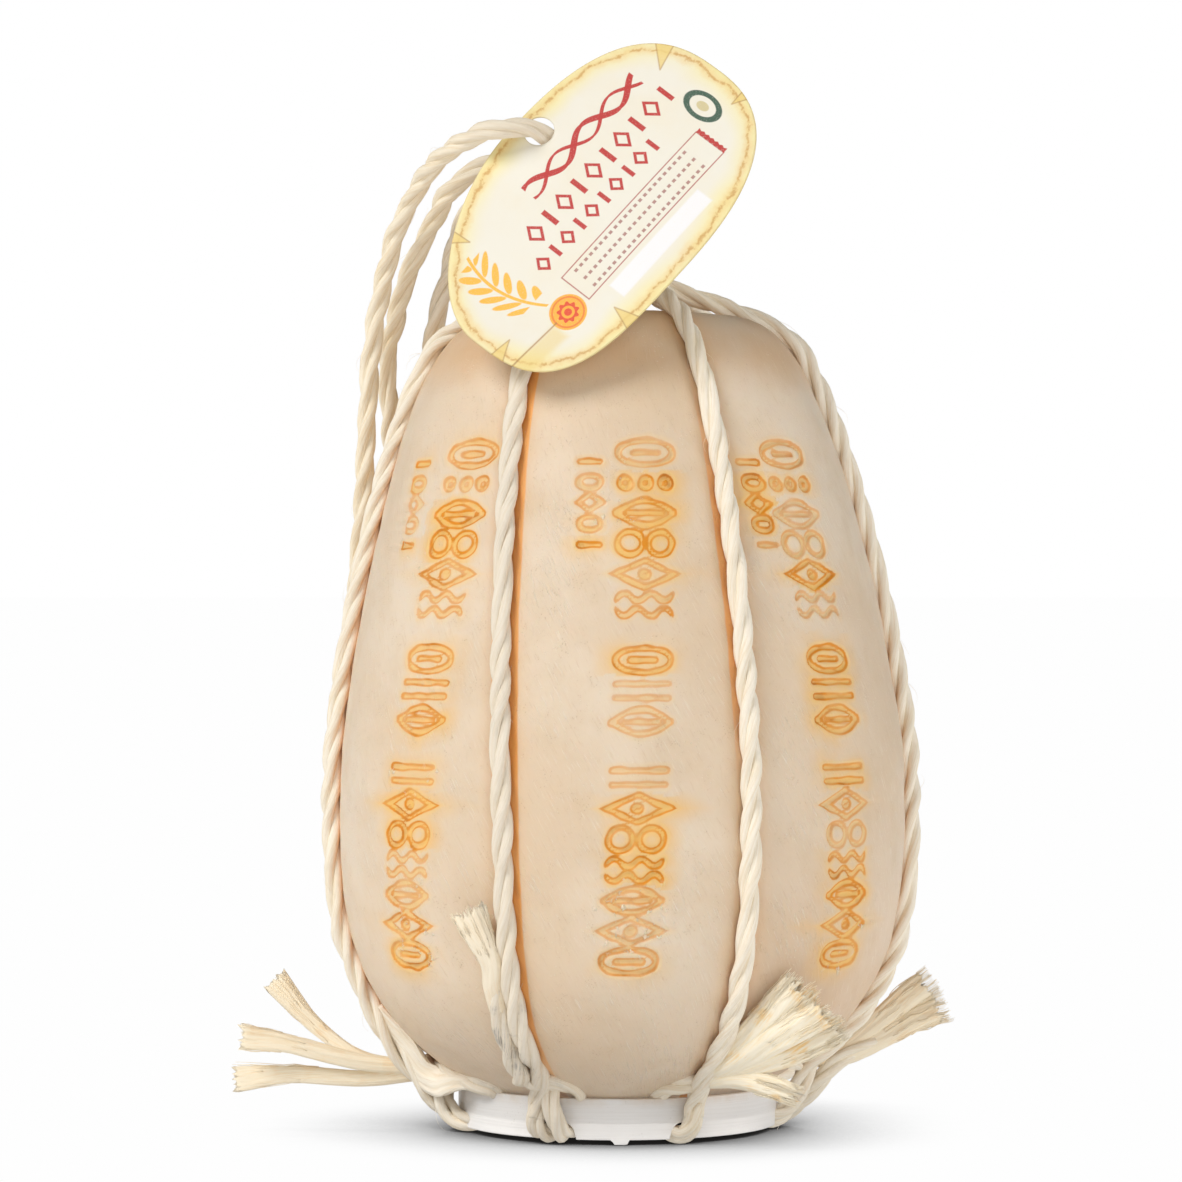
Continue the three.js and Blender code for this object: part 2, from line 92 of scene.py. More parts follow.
class Patch:
    """A grid of points with its faces and the (u, v) of each corner. Its rows are rings. Its last
    row may join its first, and otherwise its two ends may be closed by a fan to their middle."""

    def __init__(self, grid, capped=True, v=None, flip=False, looped=False):
        rows, columns = grid.shape[:2]
        u = np.linspace(0, 1, columns + 1)
        v = np.arange(rows) if v is None else v
        r, c = np.meshgrid(np.arange(rows - (not looped)), np.arange(columns), indexing="ij")
        below = (r + 1) % rows
        nxt = (c + 1) % columns
        quads = np.stack(
            [r * columns + c, r * columns + nxt, below * columns + nxt, below * columns + c], -1
        )
        flat_v = np.append(v, 2 * v[-1] - v[-2]) if looped else v
        corner_uv = np.stack(
            [
                np.stack([u[c], flat_v[r]], -1),
                np.stack([u[c + 1], flat_v[r]], -1),
                np.stack([u[c + 1], flat_v[r + 1]], -1),
                np.stack([u[c], flat_v[r + 1]], -1),
            ],
            -2,
        )
        self.points = grid.reshape(-1, 3)
        self.faces = [quads.reshape(-1, 4)]
        self.corners = [corner_uv.reshape(-1, 4, 2)]
        if capped:
            for row, sign in ((0, 1), (rows - 1, -1)):
                self.close(row, sign, columns, u, v)
        if flip:
            self.faces = [face[:, ::-1] for face in self.faces]
            self.corners = [corner[:, ::-1] for corner in self.corners]

    def close(self, row, sign, columns, u, v):
        """Adds the fan from one end row to its middle."""
        rim = row * columns + np.arange(columns)
        middle = np.full(columns, len(self.points))
        self.points = np.vstack([self.points, self.points[rim].mean(0)])
        nxt = np.roll(rim, -1)
        order = [rim, middle, nxt] if sign > 0 else [rim, nxt, middle]
        place = [np.stack([u[:columns], np.full(columns, v[row])], -1)]
        far = np.stack([u[1 : columns + 1], np.full(columns, v[row])], -1)
        mid = (place[0] + far) / 2
        place = [place[0], mid, far] if sign > 0 else [place[0], far, mid]
        self.faces.append(np.stack(order, -1))
        self.corners.append(np.stack(place, 1))


def piece(name, patches, materials, replaced=(), attributes=None, material_of=None):
    """Makes one object of the patches, with its faces smooth, and puts it on the root body."""
    mesh = bpy.data.meshes.new(name)
    points = np.concatenate([patch.points for patch in patches]) * MM
    starts = np.cumsum([0] + [len(patch.points) for patch in patches])
    faces, corners = [], []
    for patch, start in zip(patches, starts):
        faces += [face + start for face in patch.faces]
        corners += patch.corners
    sizes = np.concatenate([np.full(len(face), face.shape[1]) for face in faces])
    mesh.vertices.add(len(points))
    mesh.vertices.foreach_set("co", points.astype(np.float32).ravel())
    index = np.concatenate([face.ravel() for face in faces]).astype(np.int32)
    mesh.loops.add(len(index))
    mesh.loops.foreach_set("vertex_index", index)
    mesh.polygons.add(len(sizes))
    mesh.polygons.foreach_set("loop_start", (np.cumsum(sizes) - sizes).astype(np.int32))
    mesh.polygons.foreach_set("use_smooth", np.ones(len(sizes), bool))
    uv = mesh.uv_layers.new(name="UVMap")
    flat = np.concatenate([corner.reshape(-1, 2) for corner in corners])
    uv.data.foreach_set("uv", flat.astype(np.float32).ravel())
    for key, values in (attributes or {}).items():
        layer = mesh.attributes.new(key, "FLOAT", "POINT")
        layer.data.foreach_set("value", np.asarray(values, np.float32))
    for material in materials:
        mesh.materials.append(material)
    if material_of is not None:
        mesh.polygons.foreach_set("material_index", material_of.astype(np.int32))
    mesh.update(calc_edges=True)
    mesh.validate()
    made = bpy.data.objects.new(name, mesh)
    bpy.context.scene.collection.objects.link(made)
    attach(made, "root")
    if replaced:
        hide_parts(*replaced)
    return made


# ---- Routes -----------------------------------------------------------------------------------


def smooth_route(points, step=1.0):
    """The points joined by a centripetal Catmull-Rom curve, as points an even step apart. Each
    blend is a straight mix between two neighbours, weighed by the knots they stand at."""
    p = np.asarray(points, float)
    p = np.vstack([2 * p[0] - p[1], p, 2 * p[-1] - p[-2]])
    knots = np.append(0, np.cumsum(np.sqrt(np.linalg.norm(np.diff(p, axis=0), axis=1))))
    t = np.linspace(knots[1], knots[-2], 60 * len(p))
    i = np.clip(np.searchsorted(knots, t, side="right") - 1, 1, len(p) - 3)

    def mixed(a, b, low, high):
        share = ((t - knots[low]) / (knots[high] - knots[low]))[:, None]
        return a + (b - a) * share

    a1 = mixed(p[i - 1], p[i], i - 1, i)
    a2 = mixed(p[i], p[i + 1], i, i + 1)
    a3 = mixed(p[i + 1], p[i + 2], i + 1, i + 2)
    b1 = mixed(a1, a2, i - 1, i + 1)
    b2 = mixed(a2, a3, i, i + 2)
    return even(mixed(b1, b2, i, i + 1), step)


def run_of(line):
    """How far along the line each of its points is."""
    return np.append(0, np.cumsum(np.linalg.norm(np.diff(line, axis=0), axis=1)))


def even(line, step):
    """The line's points again, an even step apart."""
    run = run_of(line)
    at = np.linspace(0, run[-1], max(4, round(run[-1] / step) + 1))
    return np.stack([np.interp(at, run, line[:, k]) for k in range(3)], -1)


def frames(line):
    """The direction of a line at each station, and two directions square to it that turn with
    the line and not about it: each is the last one less its share along the new direction."""
    ahead = unit(np.gradient(line, axis=0))
    across = np.empty_like(line)
    guess = np.array([0.0, 0.0, 1.0])
    if abs(guess @ ahead[0]) > 0.95:
        guess = np.array([1.0, 0.0, 0.0])
    for station, way in enumerate(ahead):
        guess = guess - (guess @ way) * way
        guess /= np.linalg.norm(guess)
        across[station] = guess
    return ahead, across, np.cross(ahead, across)


def outward(azimuth):
    angle = np.radians(azimuth)
    return np.stack([np.sin(angle), -np.cos(angle), np.zeros_like(angle)], -1)


def sideways(azimuth):
    angle = np.radians(azimuth)
    return np.stack([np.cos(angle), np.sin(angle), np.zeros_like(angle)], -1)


# ---- Ropes ------------------------------------------------------------------------------------

CORD_R = 2.75
TIE_R = 2.6
LAY = 37.0
STRANDS = 3
STRAND_SIDES = 14
# a strand's middle stands this share of the rope's radius off its line, and is this share thick
STRAND_OFF = 0.48
STRAND_THICK = 0.52
# how many ribs go round a strand, and how high they stand as a share of its radius
STRAND_RIBS = ((2, 0.035), (5, 0.028), (7, 0.022))
THREAD_SIDES = 3
HAIR_R = 0.055
HAIR_REACH = 2.2
FIBRE_R = 0.14
# combed-out fibres leave a lock in this many clumps, from this share of its length on
CLUMPS = 70
COMBED_FROM = 0.55
LOCK_SIDES = 56


def laid_rope(line, radius, seed, lay=LAY, start_turn=0.0, loosen=None):
    """Three strands twisted round the line. The middle of each is carried round it once a lay,
    and its own section is a circle whose fibres make it slightly ribbed. `loosen` is how much
    wider than tight the twist is at each station."""
    run = run_of(line)
    _, across, other = frames(line)
    facing = np.linspace(0, TAU, STRAND_SIDES + 1)[:-1]
    wide = np.ones_like(run) if loosen is None else loosen
    patches = []
    for strand in range(STRANDS):
        mark = seed * 10 + strand
        twist = start_turn + TAU * (run / lay + strand / STRANDS)
        twist = twist + 0.28 * wobble(run, 46, seed) + 0.1 * wobble(run, 19, mark)
        off = radius * STRAND_OFF * wide * (1 + 0.07 * wobble(run, 24, mark + 3))
        thick = radius * STRAND_THICK * (1 + 0.055 * wobble(run, 21, mark + 5))
        ribs = sum(
            size * np.sin(count * facing[None, :] + 1.7 * wobble(run, 34, mark + count)[:, None])
            for count, size in STRAND_RIBS
        )
        section = thick[:, None] * (1 + ribs)
        turn = twist[:, None] + facing[None, :] + 0.4 * run[:, None] / lay
        x = off * np.cos(twist)
        y = off * np.sin(twist)
        x = x[:, None] + section * np.cos(turn)
        y = y[:, None] + section * np.sin(turn)
        grid = line[:, None] + x[..., None] * across[:, None] + y[..., None] * other[:, None]
        patches.append(Patch(grid, v=run / 10 + 97.0 * mark))
    return patches


def threads(starts, ends_at, radius, seed):
    """Fine fibres as three-sided tubes. `starts` is the centre line of each, an array of fibre,
    station and place, and each thins to its end."""
    count, stations = starts.shape[:2]
    sides = THREAD_SIDES
    ahead = unit(np.gradient(starts, axis=1))
    guess = unit(np.random.default_rng(seed).normal(size=(count, 1, 3)))
    across = unit(np.cross(ahead, guess))
    other = np.cross(ahead, across)
    angle = np.arange(sides) * TAU / sides
    thin = radius * np.linspace(1, ends_at, stations)[None, :, None, None]
    rim = (
        np.cos(angle)[None, None, :, None] * across[:, :, None]
        + np.sin(angle)[None, None, :, None] * other[:, :, None]
    )
    grid = starts[:, :, None] + thin * rim
    points = grid.reshape(-1, 3)
    fibre, row, side = np.meshgrid(
        np.arange(count), np.arange(stations - 1), np.arange(sides), indexing="ij"
    )
    base = (fibre * stations + row) * sides
    nxt = (side + 1) % sides
    quads = np.stack([base + side, base + nxt, base + sides + nxt, base + sides + side], -1)
    made = Patch.__new__(Patch)
    made.points = points
    made.faces = [quads.reshape(-1, 4)]
    spread = np.stack([fibre * 0.37 % 1.0, row * 0.2 + fibre * 1.3], -1)
    made.corners = [np.repeat(spread.reshape(-1, 1, 2), 4, axis=1)]
    first = np.arange(count)[:, None] * stations * sides + np.arange(sides)[None]
    last = first + (stations - 1) * sides
    ends = np.concatenate([first[:, ::-1], last])
    made.faces.append(ends)
    made.corners.append(np.zeros((len(ends), sides, 2)))
    return made


def stray_fibres(line, radius, spacing, seed):
    """Short loose hairs that leave a rope's surface, bend over and lie along it."""
    rng = np.random.default_rng(seed)
    run = run_of(line)
    count = max(1, int(run[-1] / spacing))
    ahead, across, other = frames(line)
    station = rng.integers(0, len(line), count)
    turn = rng.uniform(0, TAU, count)
    out = np.cos(turn)[:, None] * across[station] + np.sin(turn)[:, None] * other[station]
    beside = np.cross(ahead[station], out)
    t = np.linspace(0, 1, 6)[None, :, None]
    length = rng.uniform(3, 8, (count, 1, 1))
    rise = rng.uniform(0.3, 1.0, (count, 1, 1)) * HAIR_REACH
    lean = rng.uniform(-0.5, 0.5, (count, 1, 1))
    way = np.where(rng.random((count, 1, 1)) < 0.5, -1.0, 1.0)
    lines = (
        line[station][:, None]
        + out[:, None] * (radius * 0.86 + rise * np.sin(np.pi * 0.8 * t))
        + way * ahead[station][:, None] * length * t
        + beside[:, None] * lean * length * t**2
    )
    return threads(lines, 0.3, HAIR_R, seed + 1)


class Lock:
    """A lock of untwisted fibres along a route, oval in section. Half its width and half its
    thickness are given at even shares of its length, `flat` is the way its thin side faces, and
    `solid` is the share of its length where the fibres still cling together."""

    def __init__(self, route, widths, thicknesses, flat, seed, ribs=5, ragged=0.9, solid=0.95):
        self.line = smooth_route(route, 1.0)
        self.run = run_of(self.line)
        self.seed = seed
        ahead = unit(np.gradient(self.line, axis=0))
        flat = np.asarray(flat, float)
        thin = unit(flat - (ahead @ flat)[:, None] * ahead)
        self.ahead, self.thin, self.wide = ahead, thin, np.cross(thin, ahead)
        share = self.run / self.run[-1]
        stops = np.linspace(0, 1, len(widths))
        self.half_wide = np.interp(share, stops, widths)
        self.half_thin = np.interp(share, stops, thicknesses)
        self.ribs, self.ragged, self.solid = ribs, ragged, solid

    def body(self):
        """The lock's own surface: an oval with a few folds and many fine ribs along it, whose
        last rows are drawn out and back by a random amount each way round."""
        turn = np.linspace(0, TAU, LOCK_SIDES + 1)[:-1]
        kept = self.run <= self.solid * self.run[-1]
        share = (self.run / self.run[-1])[kept][:, None]
        drift = 0.8 * wobble(self.run, 30, self.seed)[kept][:, None]
        folds = 0.1 * np.sin(self.ribs * turn[None] + drift) * share**0.7
        fine = 0.03 * np.sin(13 * turn[None] + 3 * drift) + 0.02 * np.sin(25 * turn[None] - drift)
        size = 0.93 + folds + fine
        x = self.half_wide[kept, None] * np.cos(turn) * size
        y = self.half_thin[kept, None] * np.sin(turn) * (size + 0.5 * folds)
        jag = ripple(np.stack([np.cos(turn), np.sin(turn)], -1) * 4, 1.0, self.seed + 4)
        late = np.clip((share - 0.6) / 0.3, 0, 1) ** 2
        line, wide, thin, ahead = (
            part[kept][:, None] for part in (self.line, self.wide, self.thin, self.ahead)
        )
        grid = (
            line
            + x[..., None] * wide
            + y[..., None] * thin
            + (self.ragged * late * jag[None])[..., None] * ahead
        )
        patch = Patch(grid, v=self.run[kept] / 10 + 61.0 * self.seed)
        patch.points[-1] = patch.points[-1] - self.ahead[-1] * 0.45 * min(4.0, self.half_wide[-1])
        return patch

    def fibres(self, count, overrun):
        """Fibres that keep their place in the oval from root to tip. They go in clumps, each
        with its own length and its own small lean, and end a little before or past the tip."""
        rng = np.random.default_rng(self.seed + 70)
        clump = rng.integers(0, CLUMPS, count)
        clump_turn = rng.uniform(0, TAU, CLUMPS)
        clump_past = rng.uniform(-1.0, 0.8, CLUMPS) * overrun
        turn = clump_turn[clump] + rng.normal(0, 0.06, count)
        depth = np.sqrt(rng.uniform(0.45, 1.1, count))
        total = self.run[-1]
        begin = total * rng.uniform(COMBED_FROM, COMBED_FROM + 0.4, count)
        end = total + clump_past[clump] + rng.normal(0, 0.3 * overrun, count)
        at = begin[:, None] + (end - begin)[:, None] * np.linspace(0, 1, 8)
        past = np.clip(at - total, 0, None)
        share = np.clip(at / total, 0, 1)

        def along(values):
            return np.interp(at, self.run, values)

        grow = 1 + 0.9 * past / total
        x = along(self.half_wide) * grow * (depth * np.cos(turn))[:, None]
        y = along(self.half_thin) * grow * (depth * np.sin(turn))[:, None]
        curl = rng.normal(0, 1, (count, 2)) * 0.35
        x = x + curl[:, :1] * share**3 + 0.2 * wobble(at, 9, self.seed + 5)
        y = y + curl[:, 1:] * share**3 + 0.2 * wobble(at, 8, self.seed + 6)
        centre = np.stack([along(self.line[:, k]) for k in range(3)], -1)
        centre = centre + past[..., None] * self.ahead[-1]
        wide = unit(np.stack([along(self.wide[:, k]) for k in range(3)], -1))
        thin = unit(np.stack([along(self.thin[:, k]) for k in range(3)], -1))
        lines = centre + x[..., None] * wide + y[..., None] * thin
        return threads(lines, 0.45, FIBRE_R, self.seed + 71)


# ---- The cheese's form ------------------------------------------------------------------------

TOP_Z = 217.0
WIDEST_Z = 93.0
WIDEST_R = 78.0
BELLY_POWERS = (3.5, 1.34)
BELLY_BELOW = 1.6
NECK_TAPER = (0.36, 1.47)
SHOULDER_POWER = 8
FLUTE_DEPTH = 3.4
FLUTE_FADE_R = 48.0
LOBE_ROUNDNESS = 0.6
SWAY_BY = 0.6
SWAY_HALF_WAVE = 152.0
# each cord's azimuths at the heights of AZIMUTH_Z
AZIMUTH_Z = (15.0, 60.0, 120.0, 210.0)
CORDS = {
    "left": (-80, -79.7, -80.4, -84),
    "front_left": (-24.1, -22.7, -24.1, -27.7),
    "front_right": (25.1, 24.6, 25.2, 23.7),
    "right": (85, 85.7, 86, 85),
    "back_right": (148, 147.2, 143.4, 132),
    "back_left": (213, 214.7, 222.1, 244),
}
NAMES = list(CORDS)


def crest_radius(z):
    """Radius of the lobes' crests: a superellipse below the widest height, and above it a taper
    that ends in a much squarer superellipse."""
    below = np.clip((WIDEST_Z - z) / (WIDEST_Z + BELLY_BELOW), 0, 1)
    above = np.clip((z - WIDEST_Z) / (TOP_Z - WIDEST_Z), 0, 1)
    lower = (1 - below ** BELLY_POWERS[0]) ** (1 / BELLY_POWERS[1])
    taper = 1 - NECK_TAPER[0] * above ** NECK_TAPER[1]
    return WIDEST_R * lower * taper * (1 - above**SHOULDER_POWER) ** (1 / SHOULDER_POWER)


def flute_depth(crest):
    return FLUTE_DEPTH * np.minimum(1, crest / FLUTE_FADE_R)


def sway(z):
    return SWAY_BY * np.sin(np.pi * z / SWAY_HALF_WAVE)


def azimuth_at(name, z):
    """A cord's azimuth at a height: the cubic through its azimuths at four heights."""
    h = np.clip(z, AZIMUTH_Z[0], AZIMUTH_Z[-1])
    return np.polyval(np.polyfit(AZIMUTH_Z, CORDS[name], 3), h)


def fine_meridian():
    """Heights of the crest's outline from the top to the flat spot, and the way run so far."""
    z = TOP_Z * (1 + np.cos(np.linspace(0, np.pi, 4001))) / 2
    line = np.stack([crest_radius(z), 0 * z, z], -1)
    return line, run_of(line)


def meridian(rows):
    """(radius, height) at points evenly spaced along the crest's outline, from the top down."""
    line, run = fine_meridian()
    at = np.searchsorted(run, run[-1] * np.arange(rows + 1) / rows - 1e-9)
    return line[at][:, [0, 2]]


# ---- Routes of the cords ----------------------------------------------------------------------

STAND_OFF = 0.35
MERIDIAN_ROWS = 24
BESIDE_RING = 45.75
KNOT_X = -3.5
KNOT_R = 10.5
KNOT_Z = (222.5, 238.5)
KNOT_TURNS = 3
KNOT_LAY = 24
# the height at which each cord leaves the knot, and the radius at which it meets the cheese
SPANS = {
    "left": (227, 40),
    "front_left": (227, 40),
    "front_right": (228, 36),
    "right": (228, 42),
    "back_right": (227, 40),
    "back_left": (235.5, 57),
}
# the back left cord's slack, from the knot to the cheese
SLACK = [
    (-17, 5, 243), (-29, 6, 248.5), (-38, 7, 247), (-42, 9, 242), (-45.4, 14, 230.2),
    (-47.7, 17, 222.8), (-50.2, 20, 212.7), (-50.6, 24, 203),
]
# Passes of rope over the ring, as (out from the ring's axis, along the ring, up) from a cord's
# azimuth: where a flank ends its own way, the usual tie, ties that differ, the second passes,
# and the strand that hangs loose at the left.
OVER = {
    "right": [
        (52.2, 0, 18.6), (49.4, 0, 13.4), (47.4, -0.6, 8.8), (45.2, -1.6, 5), (42, -2.8, 3.1),
        (38.6, -3.6, 3.4),
    ],
    "left": [
        (62.6, 0, 26), (58.6, 0, 20), (54.3, 0, 14.7), (50.2, 0.8, 10.2), (47.2, 2.6, 6.3),
        (44.2, 5, 3.4), (40.6, 7.2, 2.9), (37.6, 9.4, 4),
    ],
    "front_left": [
        (51.5, 0, 20.5), (47.6, -0.6, 15.6), (46, -2.4, 11), (46, -3.1, 7),
    ],
}
TIE = [
    (45.75, 0, 10.5), (46.05, 0.3, 5.8), (43.8, 1.6, 2.9), (38.8, 3.6, 3), (36, 5.4, 5.5),
    (37.8, 7, 10.6), (42.6, 7, 14.4), (46.4, 3.6, 15.6), (47.4, -1, 16.8), (49.8, -6, 18.6),
]
OWN_TIE = {
    "left": [
        (37.6, 9.4, 4), (35, 13.4, 6.4), (34.4, 17.6, 10), (37, 21.5, 13.2), (40.6, 20, 14),
        (43.8, 14, 14.8), (46.8, 8, 15.6), (49.2, 2, 16.4), (50.6, -5, 17.2),
    ],
    "right": [
        (38.6, 3.6, 3.4), (35.6, 8, 6), (36, 13, 11), (40.4, 14.5, 14.2), (44.6, 10, 16),
        (46.8, 4, 17), (48.6, -2, 17.8),
    ],
    "front_left": [
        (46, -2.8, 10.5), (46, -3.2, 6), (43.4, -2.6, 2.9), (38.8, -0.5, 3), (36, 3, 5.5),
        (38, 6.4, 10.8), (43, 6.8, 14.8), (46.8, 3, 16.6), (47.8, -2.4, 16.4), (50.2, -5, 17.4),
    ],
}
SECOND_PASS = {
    "left": [
        (39, -3, 3), (43.4, -3.2, 3), (46.1, -3.2, 6.4), (46.4, -2.6, 10.5), (44.6, 0.5, 14.2),
    ],
    "front_left": [
        (45.2, 0.8, 15), (46.6, 1.7, 11.5), (46.2, 2.6, 7), (43.4, 3, 2.9), (39, 3.3, 3),
    ],
    "right": [
        (40, -6.2, 3.4), (45, -5.2, 3.8), (49.8, -4, 7.6), (54.2, -4, 12.4), (59.4, -5.5, 17.8),
        (68, -9.5, 23),
    ],
}
LOOSE_STRAND = [
    (65.4, 0.5, 32.5), (57.2, 1.6, 22.3), (52.6, 3.4, 15.2), (49.2, 7, 13), (46.8, 12, 13.8),
    (43.8, 16.5, 14.4), (40.4, 20, 13.2),
]
# which way along the ring each cord's tie goes
TIE_SIDE = dict(zip(NAMES, (1, 1, -1, -1, 1, -1)))
# ends that climb their own flank: from and to what height, and in how many turns
CLIMBS = {"front_left": (21, 44, 0.04), "back_left": (22, 40, 0.5)}


def in_flute(name, z):
    """A cord's centre line in its flute: square off the flute's bottom by the cord's radius."""
    z = np.asarray(z, float)

    def valley(h):
        return crest_radius(h) - flute_depth(crest_radius(h))

    slope = valley(z + 0.5) - valley(z - 0.5)
    normal = unit(np.stack([np.ones_like(slope), -slope], -1))
    height = CORD_R + STAND_OFF
    out = valley(z) + height * normal[:, 0]
    points = outward(azimuth_at(name, z)) * out[:, None]
    points[:, 0] += sway(z)
    points[:, 2] = z + height * normal[:, 1]
    return points


def beside_cord(azimuth, out, side, z):
    """A point `out` from the ring's axis on a cord's azimuth, `side` along the ring, `z` up."""
    point = outward(azimuth) * out + sideways(azimuth) * side
    point[2] = z
    return point


def flank_route(name):
    """From the knot over the shoulder and down the flute to the outside of the base ring."""
    from_z, touch_r = SPANS[name]
    slack = SLACK if name == "back_left" else []
    over = OVER.get(name)
    leaves_z = over[0][2] + 4 if over else 17
    rows = meridian(MERIDIAN_ROWS)
    rows = rows[(rows[:, 0] > touch_r) & (rows[:, 1] > leaves_z)]
    on_cheese = in_flute(name, rows[:, 1])
    knot = np.array([KNOT_X, 0, from_z])
    towards = np.array(slack[0] if slack else on_cheese[0]) - knot
    towards[2] = 0
    at_knot = knot + unit(towards) * (KNOT_R - 4)
    low = azimuth_at(name, 0.0)
    beside = over or [(BESIDE_RING, 0, 10.5), (BESIDE_RING, 0, 7)]
    on_ring = [beside_cord(low, *place) for place in beside]
    return np.array([at_knot, *slack, *on_cheese, *on_ring])


def pass_over(name, points):
    """A pass of a cord's rope over the ring, given as how far out, how far to the side on which
    that cord comes out of the ring, and how high."""
    low = azimuth_at(name, 0.0)
    side = TIE_SIDE[name]
    return [beside_cord(low, out, side * along, z) for out, along, z in points]


def tie_route(name):
    """Under the ring, up inside it, out over its top edge on one side, and behind the flank."""
    return pass_over(name, OWN_TIE.get(name, TIE))


def climb_route(name):
    """A rope's end wound round its own flank, a little more than half a turn for each step."""
    from_z, to_z, turns = CLIMBS[name]
    count = max(4, int(np.ceil(8 * turns))) + 1
    t = np.arange(count) / (count - 1)
    z = from_z + (to_z - from_z) * t
    turn = np.radians(-TIE_SIDE[name] * (100 - 360 * turns * t))
    azimuth = azimuth_at(name, z)
    away = CORD_R + TIE_R - 0.6
    out = outward(azimuth) * (away * np.abs(np.cos(turn)))[:, None]
    return in_flute(name, z) + out + sideways(azimuth) * (away * np.sin(turn))[:, None]


# ---- Hanging loop -----------------------------------------------------------------------------

LOOP = [
    (-2.5, -6, 238), (-4.3, -12, 245.5), (-8, -20, 252.5), (-13.7, -28.5, 258.3),
    (-20.6, -36.2, 262.2), (-25, -39.5, 263.2), (-30.2, -40.6, 262.9), (-35.4, -39.5, 261.9),
    (-39.8, -36.2, 260.3), (-43.7, -30.5, 258.6), (-47.3, -23, 256.4), (-51, -15, 253.2),
    (-55.2, -5, 247.3), (-59.1, 2, 240.6), (-61.9, 6, 232.1), (-64.2, 9, 222.3), (-66.3, 12, 211.1),
    (-67.9, 14, 189.6), (-69, 16, 167.9), (-69.8, 17.5, 157.1), (-70.8, 20, 148.5),
    (-71.3, 25, 137), (-70.4, 32, 126.5), (-66.5, 39.8, 120.5), (-61.4, 46, 123.5), (-59, 47, 133),
    (-59.6, 42.3, 147), (-61.3, 31, 175), (-62.6, 22.5, 201), (-62.6, 20, 208.3),
    (-60.5, 18, 215.8), (-58.8, 16, 223.3), (-53.4, 10, 235.9), (-49.4, 5, 243), (-45.8, 0, 249.3),
    (-36, -8, 256.3), (-27, -9, 257.5), (-17, -6, 253.5), (-10, -1, 246), (-7, 2, 238),
]


# ---- Paint ------------------------------------------------------------------------------------


def tone(red, green, blue):
    """A screen colour of 0 to 255 as the linear colour that a shader takes."""
    value = np.array([red, green, blue]) / 255
    linear = np.where(value <= 0.04045, value / 12.92, ((value + 0.055) / 1.055) ** 2.4)
    return (*[float(part) for part in linear], 1.0)


class Paint:
    """Adds nodes to one node tree. An input may be a number, a colour, a socket or a Field."""

    def __init__(self, tree):
        self.tree = tree

    def put(self, kind, inputs=None, **settings):
        node = self.tree.nodes.new("ShaderNode" + kind)
        for name, value in settings.items():
            setattr(node, name, value)
        for key, value in (inputs or {}).items():
            self.feed(node.inputs[key], value)
        return node

    def feed(self, socket, value):
        value = getattr(value, "socket", value)
        if isinstance(value, bpy.types.NodeSocket):
            self.tree.links.new(value, socket)
        else:
            socket.default_value = value

    def field(self, socket):
        return Field(self, socket)

    def attribute(self, name):
        return self.field(self.put("Attribute", attribute_name=name).outputs["Fac"])

    def place(self):
        """Object coordinates, in metres."""
        return self.put("TexCoord").outputs["Object"]

    def apart(self, vector):
        return [self.field(out) for out in self.put("SeparateXYZ", {0: vector}).outputs]

    def together(self, x, y, z=0.0):
        return self.put("CombineXYZ", {0: x, 1: y, 2: z}).outputs[0]

    def noise(self, vector, scale, detail=2.0, roughness=0.5):
        inputs = {"Vector": vector, "Scale": scale, "Detail": detail, "Roughness": roughness}
        return self.field(self.put("TexNoise", inputs).outputs[0])

    def cells(self, vector, scale):
        node = self.put("TexVoronoi", {"Vector": vector, "Scale": scale})
        return self.field(node.outputs["Distance"])

    def mix(self, amount, first, second):
        return self.put("Mix", {0: amount, 6: first, 7: second}, data_type="RGBA").outputs[2]

    def turned(self, vector, angle, scale):
        """The vector turned back by an angle about +Z, and then stretched."""
        inverse = [1 / part for part in scale]
        node = self.put("Mapping", {"Vector": vector, "Scale": inverse}, vector_type="TEXTURE")
        node.inputs["Rotation"].default_value = (0, 0, np.radians(angle))
        return node.outputs[0]

    def bump(self, height, distance, strength):
        inputs = {"Height": height, "Distance": distance, "Strength": strength}
        return self.put("Bump", inputs).outputs[0]

    def grouped(self, group, **inputs):
        node = self.put("Group", node_tree=group)
        for name, value in inputs.items():
            self.feed(node.inputs[name.replace("_", " ")], value)
        return node.outputs


class Field:
    """A number that varies over a surface. Arithmetic on fields adds Math nodes."""

    def __init__(self, paint, socket):
        self.paint, self.socket = paint, socket

    def math(self, operation, *others):
        node = self.paint.put("Math", dict(enumerate([self, *others])), operation=operation)
        return Field(self.paint, node.outputs[0])

    def __add__(self, other):
        return self.math("ADD", other)

    def __sub__(self, other):
        return self.math("SUBTRACT", other)

    def __mul__(self, other):
        return self.math("MULTIPLY", other)

    def __truediv__(self, other):
        return self.math("DIVIDE", other)

    def __rsub__(self, other):
        return self.math("MULTIPLY", -1.0) + other

    __radd__ = __add__
    __rmul__ = __mul__

    def __abs__(self):
        return self.math("ABSOLUTE")

    def low(self, other):
        return self.math("MINIMUM", other)

    def high(self, other):
        return self.math("MAXIMUM", other)

    def power(self, other):
        return self.math("POWER", other)

    def sine(self):
        return self.math("SINE")

    def cosine(self):
        return self.math("COSINE")

    def wrapped(self, length):
        """The field less whole lengths, from minus half a length to half a length."""
        return self.math("WRAP", length / 2, -length / 2)

    def step(self, low, high):
        """0 at `low`, 1 at `high`, smooth between. `low` may be the larger."""
        node = self.paint.put(
            "MapRange",
            {"Value": self, "From Min": low, "From Max": high},
            interpolation_type="SMOOTHSTEP",
        )
        return Field(self.paint, node.outputs[0])


